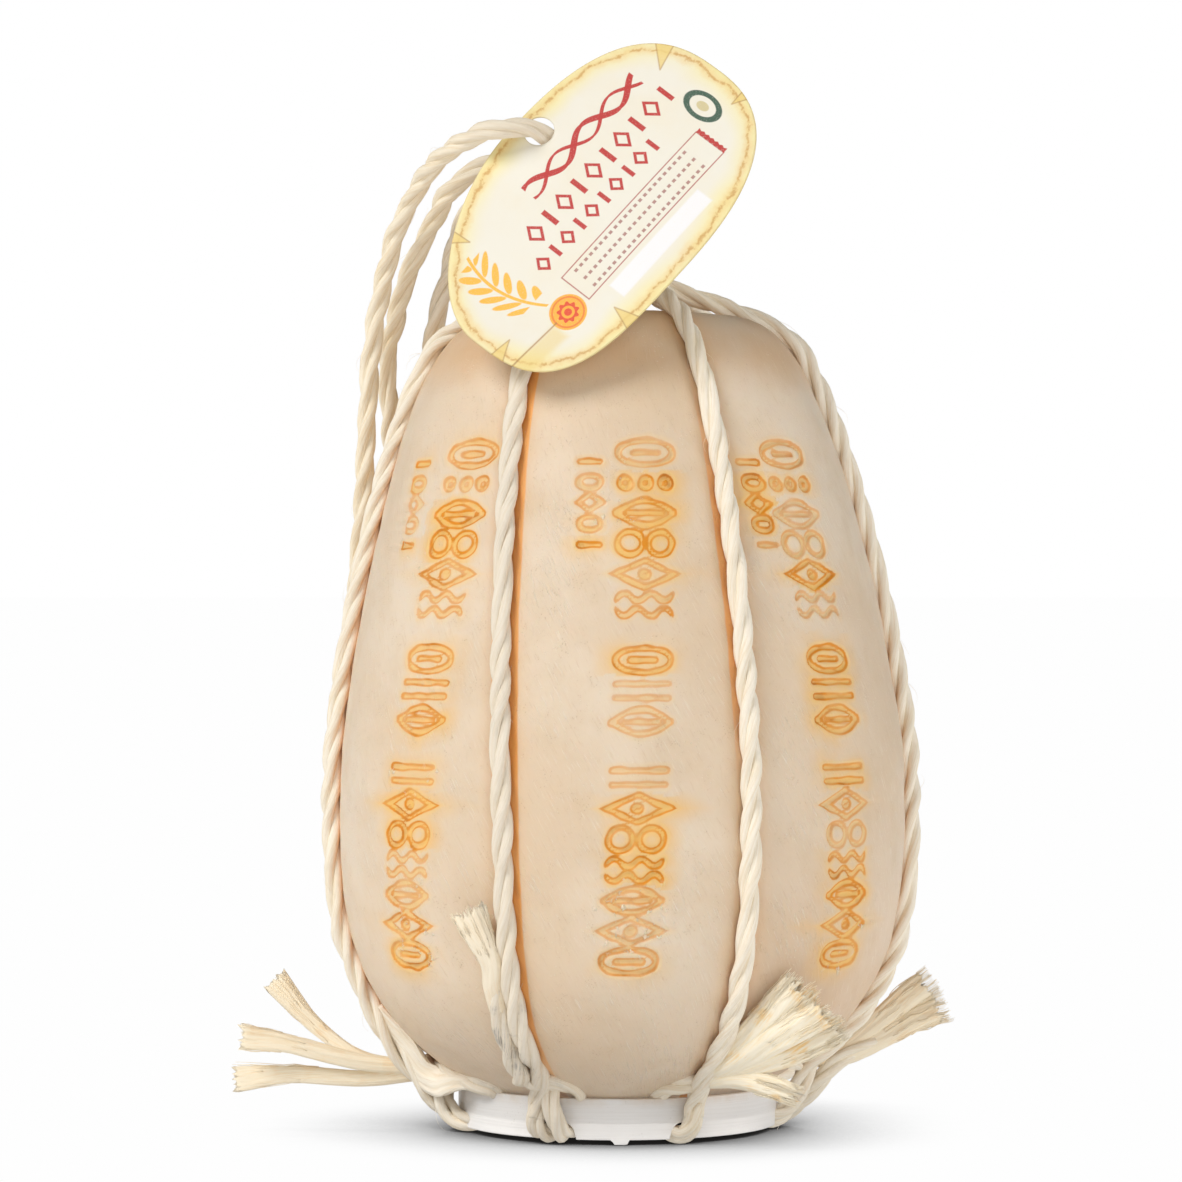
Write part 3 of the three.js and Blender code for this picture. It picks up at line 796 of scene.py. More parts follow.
def effect(name, takes, gives, build):
    """A node group with named number inputs and the named outputs that `build` returns."""
    group = bpy.data.node_groups.new(name, "ShaderNodeTree")
    for title, value in takes.items():
        socket = group.interface.new_socket(
            name=title, in_out="INPUT", socket_type="NodeSocketFloat"
        )
        socket.default_value = value
    for title, kind in gives.items():
        group.interface.new_socket(name=title, in_out="OUTPUT", socket_type=kind)
    paint = Paint(group)
    inside = group.nodes.new("NodeGroupInput")
    made = build(paint, {title: paint.field(inside.outputs[title]) for title in takes})
    out = group.nodes.new("NodeGroupOutput")
    for title in gives:
        paint.feed(out.inputs[title], made[title])
    return group


def fibre_streaks(paint, takes):
    """Noise drawn out along a strand, over the sine and cosine of the way round it and the
    length along it, so that it has no seam. The way round drifts along, as the fibres do."""
    u, v, _ = paint.apart(paint.put("UVMap", uv_map="UVMap").outputs[0])
    turn = u * TAU + v * takes["Drift"]
    x, y = turn.cosine(), turn.sine()
    coarse = paint.noise(paint.together(x * 2.2, y * 2.2, v * 0.9), 1.0, 3.0, 0.55)
    fine = paint.noise(paint.together(x * 7.5, y * 7.5, v * 1.3), 1.0, 3.0, 0.65)
    hair = paint.noise(paint.together(x * 17.0, y * 17.0, v * 2.0), 1.0, 2.0, 0.6)
    height = coarse * 0.35 + fine * 0.4 + hair * 0.25
    return {"Height": height, "Coarse": coarse, "Fine": fine}


def worn_specks(paint, takes):
    """Small marks scattered over a surface: a cell pattern's middles, where coarse noise lets
    them through."""
    place = paint.place()
    spots = paint.cells(place, takes["Scale"]).step(takes["Size"], takes["Size"] * 0.35)
    cover = paint.noise(place, takes["Scale"] * 0.16, 2.0).step(0.5, 0.66)
    return {"Marks": spots * cover}


FIBRES = effect(
    "fibre_streaks",
    {"Drift": 0.35},
    {key: "NodeSocketFloat" for key in ("Height", "Coarse", "Fine")},
    fibre_streaks,
)
SPECKS = effect(
    "worn_specks",
    {"Scale": 700.0, "Size": 0.3},
    {"Marks": "NodeSocketFloat"},
    worn_specks,
)


def new_material(name, build, **shader):
    """A material whose Principled shader has the given plain values, and what `build` feeds."""
    material = bpy.data.materials.new(name)
    material.use_nodes = True
    paint = Paint(material.node_tree)
    principled = material.node_tree.nodes["Principled BSDF"]
    for key, value in shader.items():
        principled.inputs[key.replace("_", " ")].default_value = value
    for key, value in build(paint).items():
        paint.feed(principled.inputs[key], value)
    return material


def handled(paint, place):
    """Where hands have greyed the cord at the front left, from 0 to 1."""
    x, _, _ = paint.apart(place)
    return x.step(-0.012, -0.02) * x.step(-0.045, -0.036)


def cord_fibre(pale, body, deep, grey_amount):
    """Paper-pale plant fibre: streaks between three tones. Handling dirt greys its finest
    grooves, most of all low down at the front left."""

    def build(paint):
        streaks = paint.grouped(FIBRES)
        place = paint.place()
        fine = paint.field(streaks["Fine"])
        coarse = paint.field(streaks["Coarse"])
        colour = paint.mix(coarse.step(0.34, 0.58), body, pale)
        colour = paint.mix(fine.step(0.44, 0.28) * 0.5, colour, deep)
        patchy = paint.noise(place, 55.0, 3.0, 0.6)
        colour = paint.mix(patchy.step(0.5, 0.8) * 0.3, colour, tone(238, 220, 178))
        colour = paint.mix(handled(paint, place) * 0.45, colour, tone(226, 214, 196))
        x, _, z = paint.apart(place)
        soiled = z.step(0.046, 0.034) * z.step(0.004, 0.012) * x.step(-0.012, -0.02)
        soiled = soiled * x.step(-0.04, -0.03) + grey_amount
        grey = paint.noise(place, 90.0, 4.0, 0.65).step(0.5, 0.66) * fine.step(0.56, 0.4)
        colour = paint.mix(grey * soiled.low(0.8), colour, tone(150, 143, 136))
        height = paint.field(streaks["Height"])
        return {
            "Base Color": colour,
            "Roughness": fine * 0.3 + 0.55,
            "Normal": paint.bump(height, 0.0005, 0.65),
        }

    return build


def fluff(pale, body, deep, honey_amount=0.5):
    """Combed-out fibre of the cut ends, paler, with honey-coloured patches in its folds."""

    def build(paint):
        streaks = paint.grouped(FIBRES)
        place = paint.place()
        fine = paint.field(streaks["Fine"])
        colour = paint.mix(fine.step(0.3, 0.55), body, pale)
        honey = paint.noise(place, 130.0, 2.0, 0.5).step(0.5, 0.64)
        honey = honey * fine.step(0.62, 0.44)
        colour = paint.mix(honey * honey_amount, colour, deep)
        colour = paint.mix(handled(paint, place) * 0.45, colour, tone(232, 221, 202))
        return {
            "Base Color": colour,
            "Roughness": fine * 0.25 + 0.55,
            "Normal": paint.bump(streaks["Height"], 0.00045, 0.6),
        }

    return build


STROKE = 0.72  # half the width of a stamped line, in millimetres


def oiled(paint, place, patches, colour):
    """Amber oil beside each cord: a broad patchy stain, and a crisp line as wide as oil_mm."""
    cord, oil = paint.attribute("cord_mm"), paint.attribute("oil_mm")
    beside = cord.step(9.0, 3.4) * (patches * 0.8 + 0.1) * (oil * 0.22 + 0.3).low(1.0)
    colour = paint.mix(beside * 0.6, colour, tone(230, 172, 102))
    edge = cord - (CORD_R + 0.1) + paint.noise(place, 160.0, 2.0) * 0.5 - 0.25
    strip = (edge - oil).step(0.5, -0.25) * oil.step(0.15, 0.9)
    return paint.mix(strip * (patches * 0.4 + 0.66).low(0.95), colour, tone(240, 166, 84))


def stamped(paint, place, patches, colour):
    """The stamps' stain: a halo, the floor of the pressed line, its darker walls, burnt in
    places, and the pale crumbs on it, which are given back as well."""
    stamp, ink = paint.attribute("stamp_mm"), paint.attribute("stamp_ink")
    halo = stamp.step(7.0, 0.4) * patches.step(0.36, 0.6) * ink.step(0.3, 0.9)
    colour = paint.mix(halo * 0.75, colour, tone(236, 188, 108))
    near = stamp.step(2.4, 0.9) * (ink * 0.8 + 0.15)
    colour = paint.mix(near * 0.5, colour, tone(240, 196, 116))
    strength = paint.noise(place, 95.0, 3.0, 0.6)
    floor_of_line = stamp.step(0.8, 0.35) * (ink * 0.7 + 0.2)
    colour = paint.mix(floor_of_line * 0.8, colour, tone(238, 190, 98))
    wall = abs(stamp - STROKE * 0.95).step(0.44, 0.12)
    stained = ((strength * 1.1 - 0.04) * (ink * 1.6 + 0.4)).high(0.08).low(1.0)
    colour = paint.mix(wall * stained, colour, tone(224, 142, 28))
    burnt = wall.high(floor_of_line * 0.7) * strength.step(0.52, 0.66) * ink.step(0.4, 0.8)
    colour = paint.mix(burnt * 0.5, colour, tone(168, 92, 22))
    crumbs = paint.noise(place, 420.0, 3.0, 0.7).step(0.6, 0.68)
    crumbs = crumbs * stamp.step(4.5, 1.2) * paint.noise(place, 26.0, 1.0).step(0.56, 0.66)
    return paint.mix(crumbs * 0.85, colour, tone(248, 236, 210)), crumbs


def rind(paint):
    """Smooth, waxy, pale cheese rind. Amber oil stains it beside the cords and in the stamps;
    fine scratches run down it at a slant; chalky bloom, pores and a few dark hairs lie on it.
    Painted shade tints its top a darker amber in patches, for the shade of the tag and knot, and
    darkens it towards the bottom, most of all on the right."""
    place = paint.place()
    flat = paint.put("UVMap", uv_map="UVMap").outputs[0]
    right, _, height_up = paint.apart(place)
    broad = paint.noise(place, 14.0, 3.0, 0.55)
    cloud = paint.noise(place, 60.0, 4.0, 0.6)
    colour = paint.mix(broad.step(0.35, 0.65), tone(222, 199, 171), tone(229, 212, 190))
    colour = paint.mix(cloud.step(0.42, 0.72) * 0.4, colour, tone(214, 189, 157))
    # Painted shade: above about 195 mm the rind is tinted a darker amber in patches, for the shade
    # that the tag and knot cast on the top.
    painted_tag_shade = height_up.step(0.192, 0.205) * paint.noise(place, 30.0, 2.0).step(0.2, 0.6)
    colour = paint.mix(painted_tag_shade * 0.5, colour, tone(214, 168, 116))
    # Painted shade: the rind is drawn darker and warmer towards the bottom all round, and more so
    # low on the right side.
    painted_low_shade = height_up.step(0.1, 0.03) * right.step(0.015, 0.05) * 0.5
    painted_low_shade = painted_low_shade + height_up.step(0.05, 0.012) * 0.15
    colour = paint.mix(painted_low_shade, colour, tone(208, 172, 134))

    slant = paint.noise(paint.turned(flat, 30, (1.9, 0.16, 1.0)), 1.0, 3.0, 0.65)
    steep = paint.noise(paint.turned(flat, 4, (2.6, 0.1, 1.0)), 1.0, 3.0, 0.65)
    where = paint.noise(place, 22.0, 2.0).step(0.3, 0.46) * height_up.step(0.195, 0.16)
    scuffed = paint.noise(place, 46.0, 2.0).step(0.36, 0.66) * 0.9 + 0.1
    scratch = slant.step(0.55, 0.66) * where + steep.step(0.6, 0.7) * (1.0 - where) * 0.6
    scratch = scratch * scuffed
    colour = paint.mix(scratch * 0.45, colour, tone(246, 236, 220))
    dark = slant.step(0.42, 0.28) * 0.28 + steep.step(0.38, 0.26) * 0.18
    colour = paint.mix(dark, colour, tone(199, 167, 131))

    bloom = paint.field(paint.grouped(SPECKS, Scale=900.0, Size=0.28)["Marks"])
    colour = paint.mix(bloom * 0.38, colour, tone(242, 230, 212))
    pores = paint.field(paint.grouped(SPECKS, Scale=1500.0, Size=0.24)["Marks"])
    colour = paint.mix(pores * 0.4, colour, tone(178, 140, 102))
    hairs = paint.noise(paint.turned(flat, 36, (1.9, 0.28, 1.0)), 1.0, 2.0, 0.5)
    hairs = hairs.step(0.755, 0.79) * paint.noise(place, 70.0, 1.0).step(0.5, 0.6)
    colour = paint.mix(hairs * 0.65, colour, tone(112, 80, 60))

    patches = paint.noise(place, 38.0, 3.0, 0.6)
    colour = oiled(paint, place, patches, colour)
    colour, crumbs = stamped(paint, place, patches, colour)

    grain = paint.noise(place, 1300.0, 3.0, 0.6)
    height = scratch * 0.5 - dark * 0.5 + bloom * 0.5 - pores * 0.8 + grain * 0.35
    height = height + crumbs * 2.2 + cloud * 0.9
    rough = cloud * 0.22 + scratch * 0.12 + 0.36
    return {
        "Base Color": colour,
        "Roughness": rough,
        "Normal": paint.bump(height, 0.00022, 0.8),
    }


def base_plastic(paint):
    """Milky moulded plastic with faint drag marks round it and a little oil at its top edge."""
    place = paint.place()
    x, y, z = paint.apart(place)
    drag = paint.noise(paint.together(x * 40.0, y * 40.0, z * 2600.0), 1.0, 2.0, 0.5)
    oil = z.step(0.0088, 0.0121) * paint.noise(place, 130.0, 3.0, 0.6).step(0.3, 0.7)
    colour = paint.mix(drag.step(0.35, 0.7) * 0.35, tone(236, 234, 232), tone(228, 225, 222))
    colour = paint.mix(oil * 0.45, colour, tone(208, 178, 138))
    marks = paint.grouped(SPECKS, Scale=1100.0, Size=0.26)["Marks"]
    colour = paint.mix(paint.field(marks) * 0.35, colour, tone(196, 190, 182))
    return {
        "Base Color": colour,
        "Roughness": drag * 0.2 + 0.28,
        "Normal": paint.bump(drag, 0.00012, 0.5),
    }


# ---- Card tag: shape and print ----------------------------------------------------------------

TAG_LENGTH = 96.0
TAG_WIDTH = 63.0
TAG_THICK = 0.5
TAG_HOLE_R = 4.0
TAG_HOLE = np.array([5.9, -25.2])
TAG_PLACE = np.array([-6.3, -46.3, 243.4])
TAG_SLOPE = np.radians(51.5)
TAG_LEAN = np.radians(20)
TAG_TURN = np.radians(12)
TAG_POWERS = {"near": (2.7, 1.8), "far": (2.45, 3.3)}
TAG_UP = np.array([0, np.sin(TAG_LEAN), np.cos(TAG_LEAN)])
TAG_SIDE = np.array([1.0, 0.0, 0.0])


def tag_turned(way):
    """A direction turned about +Z, the +X side coming forward."""
    c, s = np.cos(TAG_TURN), np.sin(TAG_TURN)
    return np.array([way[0] * c + way[1] * s, way[1] * c - way[0] * s, way[2]])


TAG_ALONG = tag_turned(TAG_SIDE * np.cos(TAG_SLOPE) + TAG_UP * np.sin(TAG_SLOPE))
TAG_ACROSS = tag_turned(TAG_SIDE * np.sin(TAG_SLOPE) - TAG_UP * np.cos(TAG_SLOPE))
TAG_FACING = np.cross(TAG_ACROSS, TAG_ALONG)


def card_reach(x, y):
    """1 on the card's outline, less inside it: each quarter is a superellipse of its own."""
    a, b = TAG_LENGTH / 2, TAG_WIDTH / 2
    near = np.where(x > 0, TAG_POWERS["near"][0], TAG_POWERS["near"][1])
    far = np.where(x > 0, TAG_POWERS["far"][0], TAG_POWERS["far"][1])
    power = np.where(y < 0, near, far)
    return (np.abs(x / a) ** power + np.abs(y / b) ** power) ** (1 / power)


def card_edge(angle):
    """Where rays from the hole meet the outline: each ray's length is halved in on by thirty
    whole-array steps."""
    way = np.stack([np.cos(angle), np.sin(angle)], -1)
    low, high = np.zeros_like(angle), np.full_like(angle, TAG_LENGTH)
    for _ in range(30):
        middle = (low + high) / 2
        at = TAG_HOLE + way * middle[:, None]
        inside = card_reach(at[:, 0], at[:, 1]) < 1
        low, high = np.where(inside, middle, low), np.where(inside, high, middle)
    return TAG_HOLE + way * low[:, None]


def card_bow(x, y):
    """How far the card stands off its plane: a shallow bow along it, its lower end curled."""
    return -1.3 * (x / 49) ** 2 + 0.5 * (y / 29) ** 2 + 0.9 * smoothstep(-30, -49, x)


def card_patch():
    """The card as one closed band: out from the hole on its face, over the rim, back behind."""
    rays = np.linspace(0, TAU, 361)[:-1]
    hole = TAG_HOLE + TAG_HOLE_R * np.stack([np.cos(rays), np.sin(rays)], -1)
    edge = card_edge(rays)
    share = np.concatenate([np.linspace(0, 0.97, 40) ** 1.15, [0.99, 1.0]])
    sides = []
    for half, order in ((0.5, 1), (-0.5, -1)):
        t = share[::order]
        flat = hole[None] + (edge - hole)[None] * t[:, None, None]
        rounding = np.where(t > 0.985, 0.55, 1.0)[:, None]
        lift = card_bow(flat[..., 0], flat[..., 1]) + half * TAG_THICK * rounding
        sides.append(np.concatenate([flat, lift[..., None]], -1))
    local = np.concatenate(sides)
    grid = (
        TAG_PLACE
        + local[..., :1] * TAG_ALONG
        + local[..., 1:2] * TAG_ACROSS
        + local[..., 2:] * TAG_FACING
    )
    patch = Patch(grid, capped=False, looped=True)
    index = patch.faces[0]
    patch.corners = [local.reshape(-1, 3)[index][..., :2]]
    return patch, local


# each nick scorched into the card's edge: the spot of its tip, the way it opens, its length
CARD_NICKS = (
    (38.5, -12, -33, 8),
    (42.6, 9.6, 14, 6), (-18.7, 24.3, 92, 7), (-28.4, -18.4, -112, 7), (-42, 8.6, 172, 6),
)


RED, AMBER, SCORCH = tone(190, 48, 44), tone(247, 187, 66), tone(170, 118, 56)
# rows of blocks: middle, half height, pitch, start and end
BLOCK_ROWS = ((-6.2, 2.7, 5.6, -16.0, 35.0), (1.2, 2.1, 4.7, -21.0, 22.0))

# Each printed thing gives (shape, colour, amount, softness) in the card's own millimetres, with
# shape below 0 inside it. Amount and softness may be left out.


def plaited_line(x, y):
    """Two waves that cross, thick where they swell."""
    phase = (x + 2.0) * (TAU / 21.0)
    within = (abs(x - 12.0)) - 21.0
    swell = 0.5 + abs(phase.cosine()) * 0.55
    one = abs(y + 15.2 - phase.sine() * 2.3) - swell
    two = abs(y + 15.2 + phase.sine() * 2.3) - swell * 0.6
    yield one.high(within), RED
    yield two.high(within), RED


def rows_of_blocks(x, y):
    """Upright bars, every other one a lozenge instead."""
    for middle, tall, pitch, start, end in BLOCK_ROWS:
        cell = (x - start).wrapped(pitch)
        other = (x - start).wrapped(2 * pitch)
        bar = (abs(cell) - pitch * 0.13).high(abs(y - middle) - tall)
        lozenge = abs(cell) / (pitch * 0.36) + abs(y - middle) / tall - 1.0
        lozenge = abs(lozenge * (pitch * 0.3)) - 0.42
        pick = (abs(other) - pitch / 2).step(-0.01, 0.01)
        row = bar * pick + lozenge * (1.0 - pick)
        ends = (x - end).high(start - pitch / 2 - x)
        yield row.high(ends), RED


def ear_of_corn(x, y):
    """Leaves leaning out in pairs from a curved stem."""
    bent_x = x + 34.0 - (y + 6.0) * (y + 6.0) * 0.02
    stem = (abs(bent_x) - 0.45).high(abs(y + 3.0) - 13.0)
    cell = (y + abs(bent_x) * 0.9).wrapped(4.2)
    leaf = (cell * cell / 1.9 + (abs(bent_x) - 2.9) * (abs(bent_x) - 2.9) / 5.6) - 1.0
    leaf = leaf.high(abs(y + 4.0) - 10.5)
    yield stem, AMBER
    yield leaf, AMBER, 1.0, 0.2


def printed_sun(x, y):
    """A ring round a dotted red middle."""
    gap_x, gap_y = x + 27.0, y - 15.5
    away = (gap_x * gap_x + gap_y * gap_y).power(0.5)
    ray = (gap_y.math("ARCTAN2", gap_x) * 9.0).sine() * 0.35
    yield away - 5.0, tone(250, 178, 58)
    yield abs(away - 4.2) - 0.25, tone(236, 130, 50)
    yield away - 2.7 + ray, tone(226, 74, 40)
    yield abs(away - 1.4) - 0.35, tone(250, 178, 58)


def green_oval(x, y):
    """A leaf-green oval with an open middle."""
    green_x, green_y = (x - 37.6) / 3.2, (y - 4.0) / 5.0
    oval = (green_x * green_x + green_y * green_y).power(0.5)
    yield abs(oval - 1.0) * 3.4 - 0.65, tone(62, 92, 74)
    yield oval * 3.4 - 1.3, tone(210, 196, 150)


def ruled_box(x, y):
    """A box with two rows of dots and a notched bar at its end."""
    box = (abs(x - 5.0) - 26.0).high(abs(y - 12.6) - 4.9)
    yield abs(box) - 0.17, tone(170, 66, 58), 0.85
    dots = (abs(x.wrapped(1.9)) - 0.5).high(abs((y - 12.6).wrapped(3.3)) - 0.42)
    dots = dots.high(abs(x - 4.0) - 22.0).high(abs(y - 12.6) - 3.8)
    yield dots, tone(150, 60, 54), 0.75
    notch = abs((y - 12.6).wrapped(1.6)) * 0.5
    yield (abs(x - 31.6) - 0.8 + notch).high(abs(y - 12.6) - 4.9), RED


def bare_strip(x, y):
    yield (abs(x - 2.0) - 17.0).high(abs(y - 21.8) - 2.6), tone(244, 243, 247), 0.8, 0.4


def scorched_nicks(x, y):
    """A wedge of bare, yellowed card at each nick, with a scorched rim."""
    for tip_x, tip_y, angle, length in CARD_NICKS:
        c, s = np.cos(np.radians(angle)), np.sin(np.radians(angle))
        ahead = (x - tip_x) * c + (y - tip_y) * s
        aside = abs((y - tip_y) * c - (x - tip_x) * s)
        yield (aside - ahead * 0.32).high(ahead * -1.0), tone(233, 206, 128), 0.85, 0.3
        rim = abs(aside - ahead * 0.32) - 0.1
        yield rim.high(abs(ahead - length / 2) - length / 2), SCORCH, 0.9, 0.3


def folded_end(x, y):
    """The fold at the card's lower end: the folded flap is drawn a darker yellow as painted
    shade, and the crease is drawn as a thin dark line.
    """
    crease = y - 14.6 - (x + 40.0) * 0.06
    painted_flap_shade = (crease * -1.0).high(crease - 5.0).high(x + 32.0)
    # the folded flap drawn darker yellow: painted shade
    yield painted_flap_shade, tone(233, 208, 130), 0.6, 1.2
    yield (abs(crease) - 0.2).high(x + 31.0), SCORCH, 0.85, 0.25


PRINTED = (
    plaited_line, rows_of_blocks, ear_of_corn, printed_sun, green_oval, ruled_box, bare_strip,
)


def card_print(paint):
    """The card's face: cream that yellows to a scorched, wavering line near the edge, and on it
    the print. Ink is worn unevenly."""
    spot = paint.put("UVMap", uv_map="UVMap").outputs[0]
    x, y, _ = paint.apart(spot)
    edge = paint.attribute("edge_mm")
    paper = paint.noise(spot, 0.05, 4.0, 0.6)
    yellowing = edge + paint.noise(spot, 0.06, 1.0) * 8.0 - 4.0
    colour = paint.mix(yellowing.step(0.5, 8.0), tone(241, 229, 170), tone(236, 231, 217))
    colour = paint.mix(paper.step(0.4, 0.7) * 0.35, colour, tone(236, 224, 196))

    def inked(colour, things):
        for thing in things:
            for shape, shade, *how in thing(x, y):
                amount, soft = [*how, *(1.0, 0.12)[len(how) :]]
                worn = paint.noise(spot, 2.4, 2.0).step(0.2, 0.5)
                cover = shape.step(soft, -soft) * (worn * 0.25 + 0.75) * amount
                colour = paint.mix(cover, colour, shade)
        return colour

    colour = inked(colour, PRINTED)
    depth = edge + paint.noise(spot, 0.14, 4.0, 0.65) * 5.5 - 2.75
    line = abs(depth - 2.0) - 0.14
    broken = paint.noise(spot, 0.5, 3.0, 0.7).step(0.35, 0.55)
    colour = paint.mix(line.step(0.55, -0.15) * broken * 0.8, colour, tone(176, 112, 48))
    glow = abs(depth - 2.0).step(2.4, 0.0)
    colour = paint.mix(glow * 0.45, colour, tone(232, 190, 108))
    colour = inked(colour, (scorched_nicks, folded_end))
    colour = paint.mix(edge.step(0.5, 0.0) * 0.35, colour, tone(200, 160, 96))
    grain = paint.noise(spot, 3.2, 3.0, 0.6)
    return {
        "Base Color": colour,
        "Roughness": grain * 0.15 + 0.42,
        "Normal": paint.bump(grain + line.step(0.5, 0.0) * -0.6, 0.00006, 0.6),
    }


def card_back(paint):
    """The card's unprinted back: cream board, a little yellow at its edge."""
    spot = paint.put("UVMap", uv_map="UVMap").outputs[0]
    edge = paint.attribute("edge_mm")
    paper = paint.noise(spot, 0.25, 5.0, 0.65)
    colour = paint.mix(edge.step(0.0, 9.0), tone(238, 224, 178), tone(240, 233, 216))
    colour = paint.mix(paper.step(0.45, 0.7) * 0.5, colour, tone(230, 218, 192))
    return {
        "Base Color": colour,
        "Roughness": paper * 0.2 + 0.6,
        "Normal": paint.bump(paper, 0.00008, 0.6),
    }


# ---- Stamps pressed into the rind -------------------------------------------------------------


def oval_line(x, y, wide, tall):
    """Distance to an oval line: how far its level is from 1, over how fast that changes."""
    level = np.hypot(x / wide, y / tall) + 1e-6
    rate = np.hypot(x / wide**2, y / tall**2) / level + 1e-6
    return np.abs(level - 1) / rate


def lozenge_line(x, y, wide, tall):
    return np.abs(np.abs(x) / wide + np.abs(y) / tall - 1) / np.hypot(1 / wide, 1 / tall)


def bar_line(x, y, half):
    return np.hypot(np.maximum(np.abs(x) - half, 0), y)


def wave_line(x, y, half, tall, length):
    level = np.abs(y - tall * np.sin(TAU * x / length))
    rate = np.hypot(1, TAU * tall / length * np.cos(TAU * x / length))
    return np.hypot(level / rate, np.maximum(np.abs(x) - half, 0))


def bean(x, y):
    return np.minimum(oval_line(x, y, 7.0, 3.1), bar_line(x, y, 3.2))


def diamond(x, y):
    return np.minimum(lozenge_line(x, y, 7.6, 3.5), oval_line(x, y, 0.9, 0.7))


def pair_of_bars(x, y):
    return bar_line(x, np.abs(y) - 1.8, 6.8)


def pair_of_rings(x, y):
    return oval_line(np.abs(x) - 3.9, y, 3.1, 2.9)


def two_waves(x, y):
    return wave_line(x, np.abs(y) - 1.9, 6.8, 0.9, 6.8)


def leaf_shape(x, y):
    rim = np.abs(np.abs(y) - 3.1 * np.cos(np.pi * np.clip(x / 15, -0.5, 0.5))) / 1.15
    rim = np.hypot(rim, np.maximum(np.abs(x) - 7.5, 0))
    return np.minimum(rim, bar_line(x, y, 4.4))


def three_dots(x, y):
    return oval_line(np.where(np.abs(x) < 2.6, x, np.abs(x) - 5.2), y, 1.3, 1.3)


def small_ring(x, y):
    return oval_line(x, y, 2.7, 1.7)


def small_bar(x, y):
    return bar_line(x, y, 2.6)


def small_diamond(x, y):
    return lozenge_line(x, y, 3.1, 2.1)


# motifs from the foot up, with a gap at each None
MAIN_STAMP = [
    bean, diamond, leaf_shape, two_waves, pair_of_rings, diamond, pair_of_bars, None,
    leaf_shape, pair_of_bars, bean, None,
    two_waves, diamond, pair_of_rings, leaf_shape, three_dots, bean,
]
SMALL_STAMP = [small_bar, small_ring, small_diamond, small_ring, small_bar]
MAIN_FROM, MAIN_PITCH, MAIN_GAP = 50.0, 7.7355, 6.2
SMALL_FROM, SMALL_PITCH = 155.0, 5.3
# for each lobe, named for the cord at its start: the stamp's azimuth at its foot and its head,
# and how far to the left of it the small stamp stands
STAMP_PLACE = {
    "left": (-46.8, -38.2, 17.5),
    "front_left": (1.3, 6.5, 14.2),
    "front_right": (49.4, 44.2, 12.0),
    "right": (112.0, 117.0, 14.0),
    "back_right": (182.0, 178.0, 14.5),
    "back_left": (248.0, 253.0, 15.0),
}
STAMP_Z = (50.0, 178.0)


def stamp_azimuth(name, z):
    foot, head, _ = STAMP_PLACE[name]
    return foot + (head - foot) * (z - STAMP_Z[0]) / (STAMP_Z[1] - STAMP_Z[0])


def stamp_distance(name, x, z):
    """Distance to the nearest stamped line of one lobe, from the place beside its column, and
    how strongly that line is stained."""
    nearest = np.full(x.shape, 12.0)
    ink = np.zeros(x.shape)
    rng = np.random.default_rng(300 + NAMES.index(name))

    def add(distance):
        nonlocal nearest, ink
        strength = rng.uniform(0.25, 1.0)
        ink = np.where(distance < nearest, strength, ink)
        nearest = np.minimum(nearest, distance)

    height = MAIN_FROM
    for motif in MAIN_STAMP:
        if motif is None:
            height += MAIN_GAP
            continue
        add(motif(x, z - height))
        height += MAIN_PITCH
    offset = STAMP_PLACE[name][2]
    for step, motif in enumerate(SMALL_STAMP):
        add(motif(x + offset, z - SMALL_FROM - SMALL_PITCH * step))
    return nearest, ink


# how wide a crisp line of oil shows to the right and to the left of each cord, in millimetres,
# at the heights of OIL_Z
OIL_Z = (15, 60, 95, 125, 165, 200)
OIL_RIGHT = {
    "left": (0.8, 1.2, 1.2, 1.0, 0.8, 0.3),
    "front_left": (0.5, 1.2, 1.1, 1.3, 1.6, 1.4),
    "front_right": (0.9, 0.7, 0.4, 0.5, 0.7, 0.4),
    "right": (0.6, 0.8, 1.0, 0.7, 0.5, 0.3),
    "back_right": (0.6, 0.9, 0.6, 0.9, 0.7, 0.4),
    "back_left": (0.8, 0.5, 0.9, 1.1, 0.6, 0.4),
}
OIL_LEFT = {
    "left": (0.5, 0.6, 0.7, 0.5, 0.6, 0.3),
    "front_left": (0.4, 0.3, 0.5, 0.6, 0.4, 0.3),
    "front_right": (0.3, 0.3, 0.3, 0.8, 0.7, 0.3),
    "right": (0.4, 0.5, 0.6, 0.6, 0.5, 0.3),
    "back_right": (0.7, 0.6, 0.9, 0.5, 0.6, 0.3),
    "back_left": (0.5, 0.8, 0.6, 0.4, 0.6, 0.3),
}


# ---- Cheese -----------------------------------------------------------------------------------

BAND_COLUMNS = 41
SIDE_COLUMNS = 9
BAND_HALF = 14.0
BAND_LEFT = 5.2
STAMPED_ROW = 0.67
PLAIN_ROW = 2.3


def cheese_rows():
    """Heights of the rows: close together where the stamps are, further apart elsewhere."""
    line, run = fine_meridian()
    z = line[:, 2]
    dense = smoothstep(38, 45, z) * smoothstep(188, 182, z)
    density = 1 / PLAIN_ROW + dense * (1 / STAMPED_ROW - 1 / PLAIN_ROW)
    count = np.append(0, np.cumsum(np.diff(run) * (density[1:] + density[:-1]) / 2))
    total = int(count[-1])
    return np.interp(np.linspace(0, count[-1], total + 1), count, z)


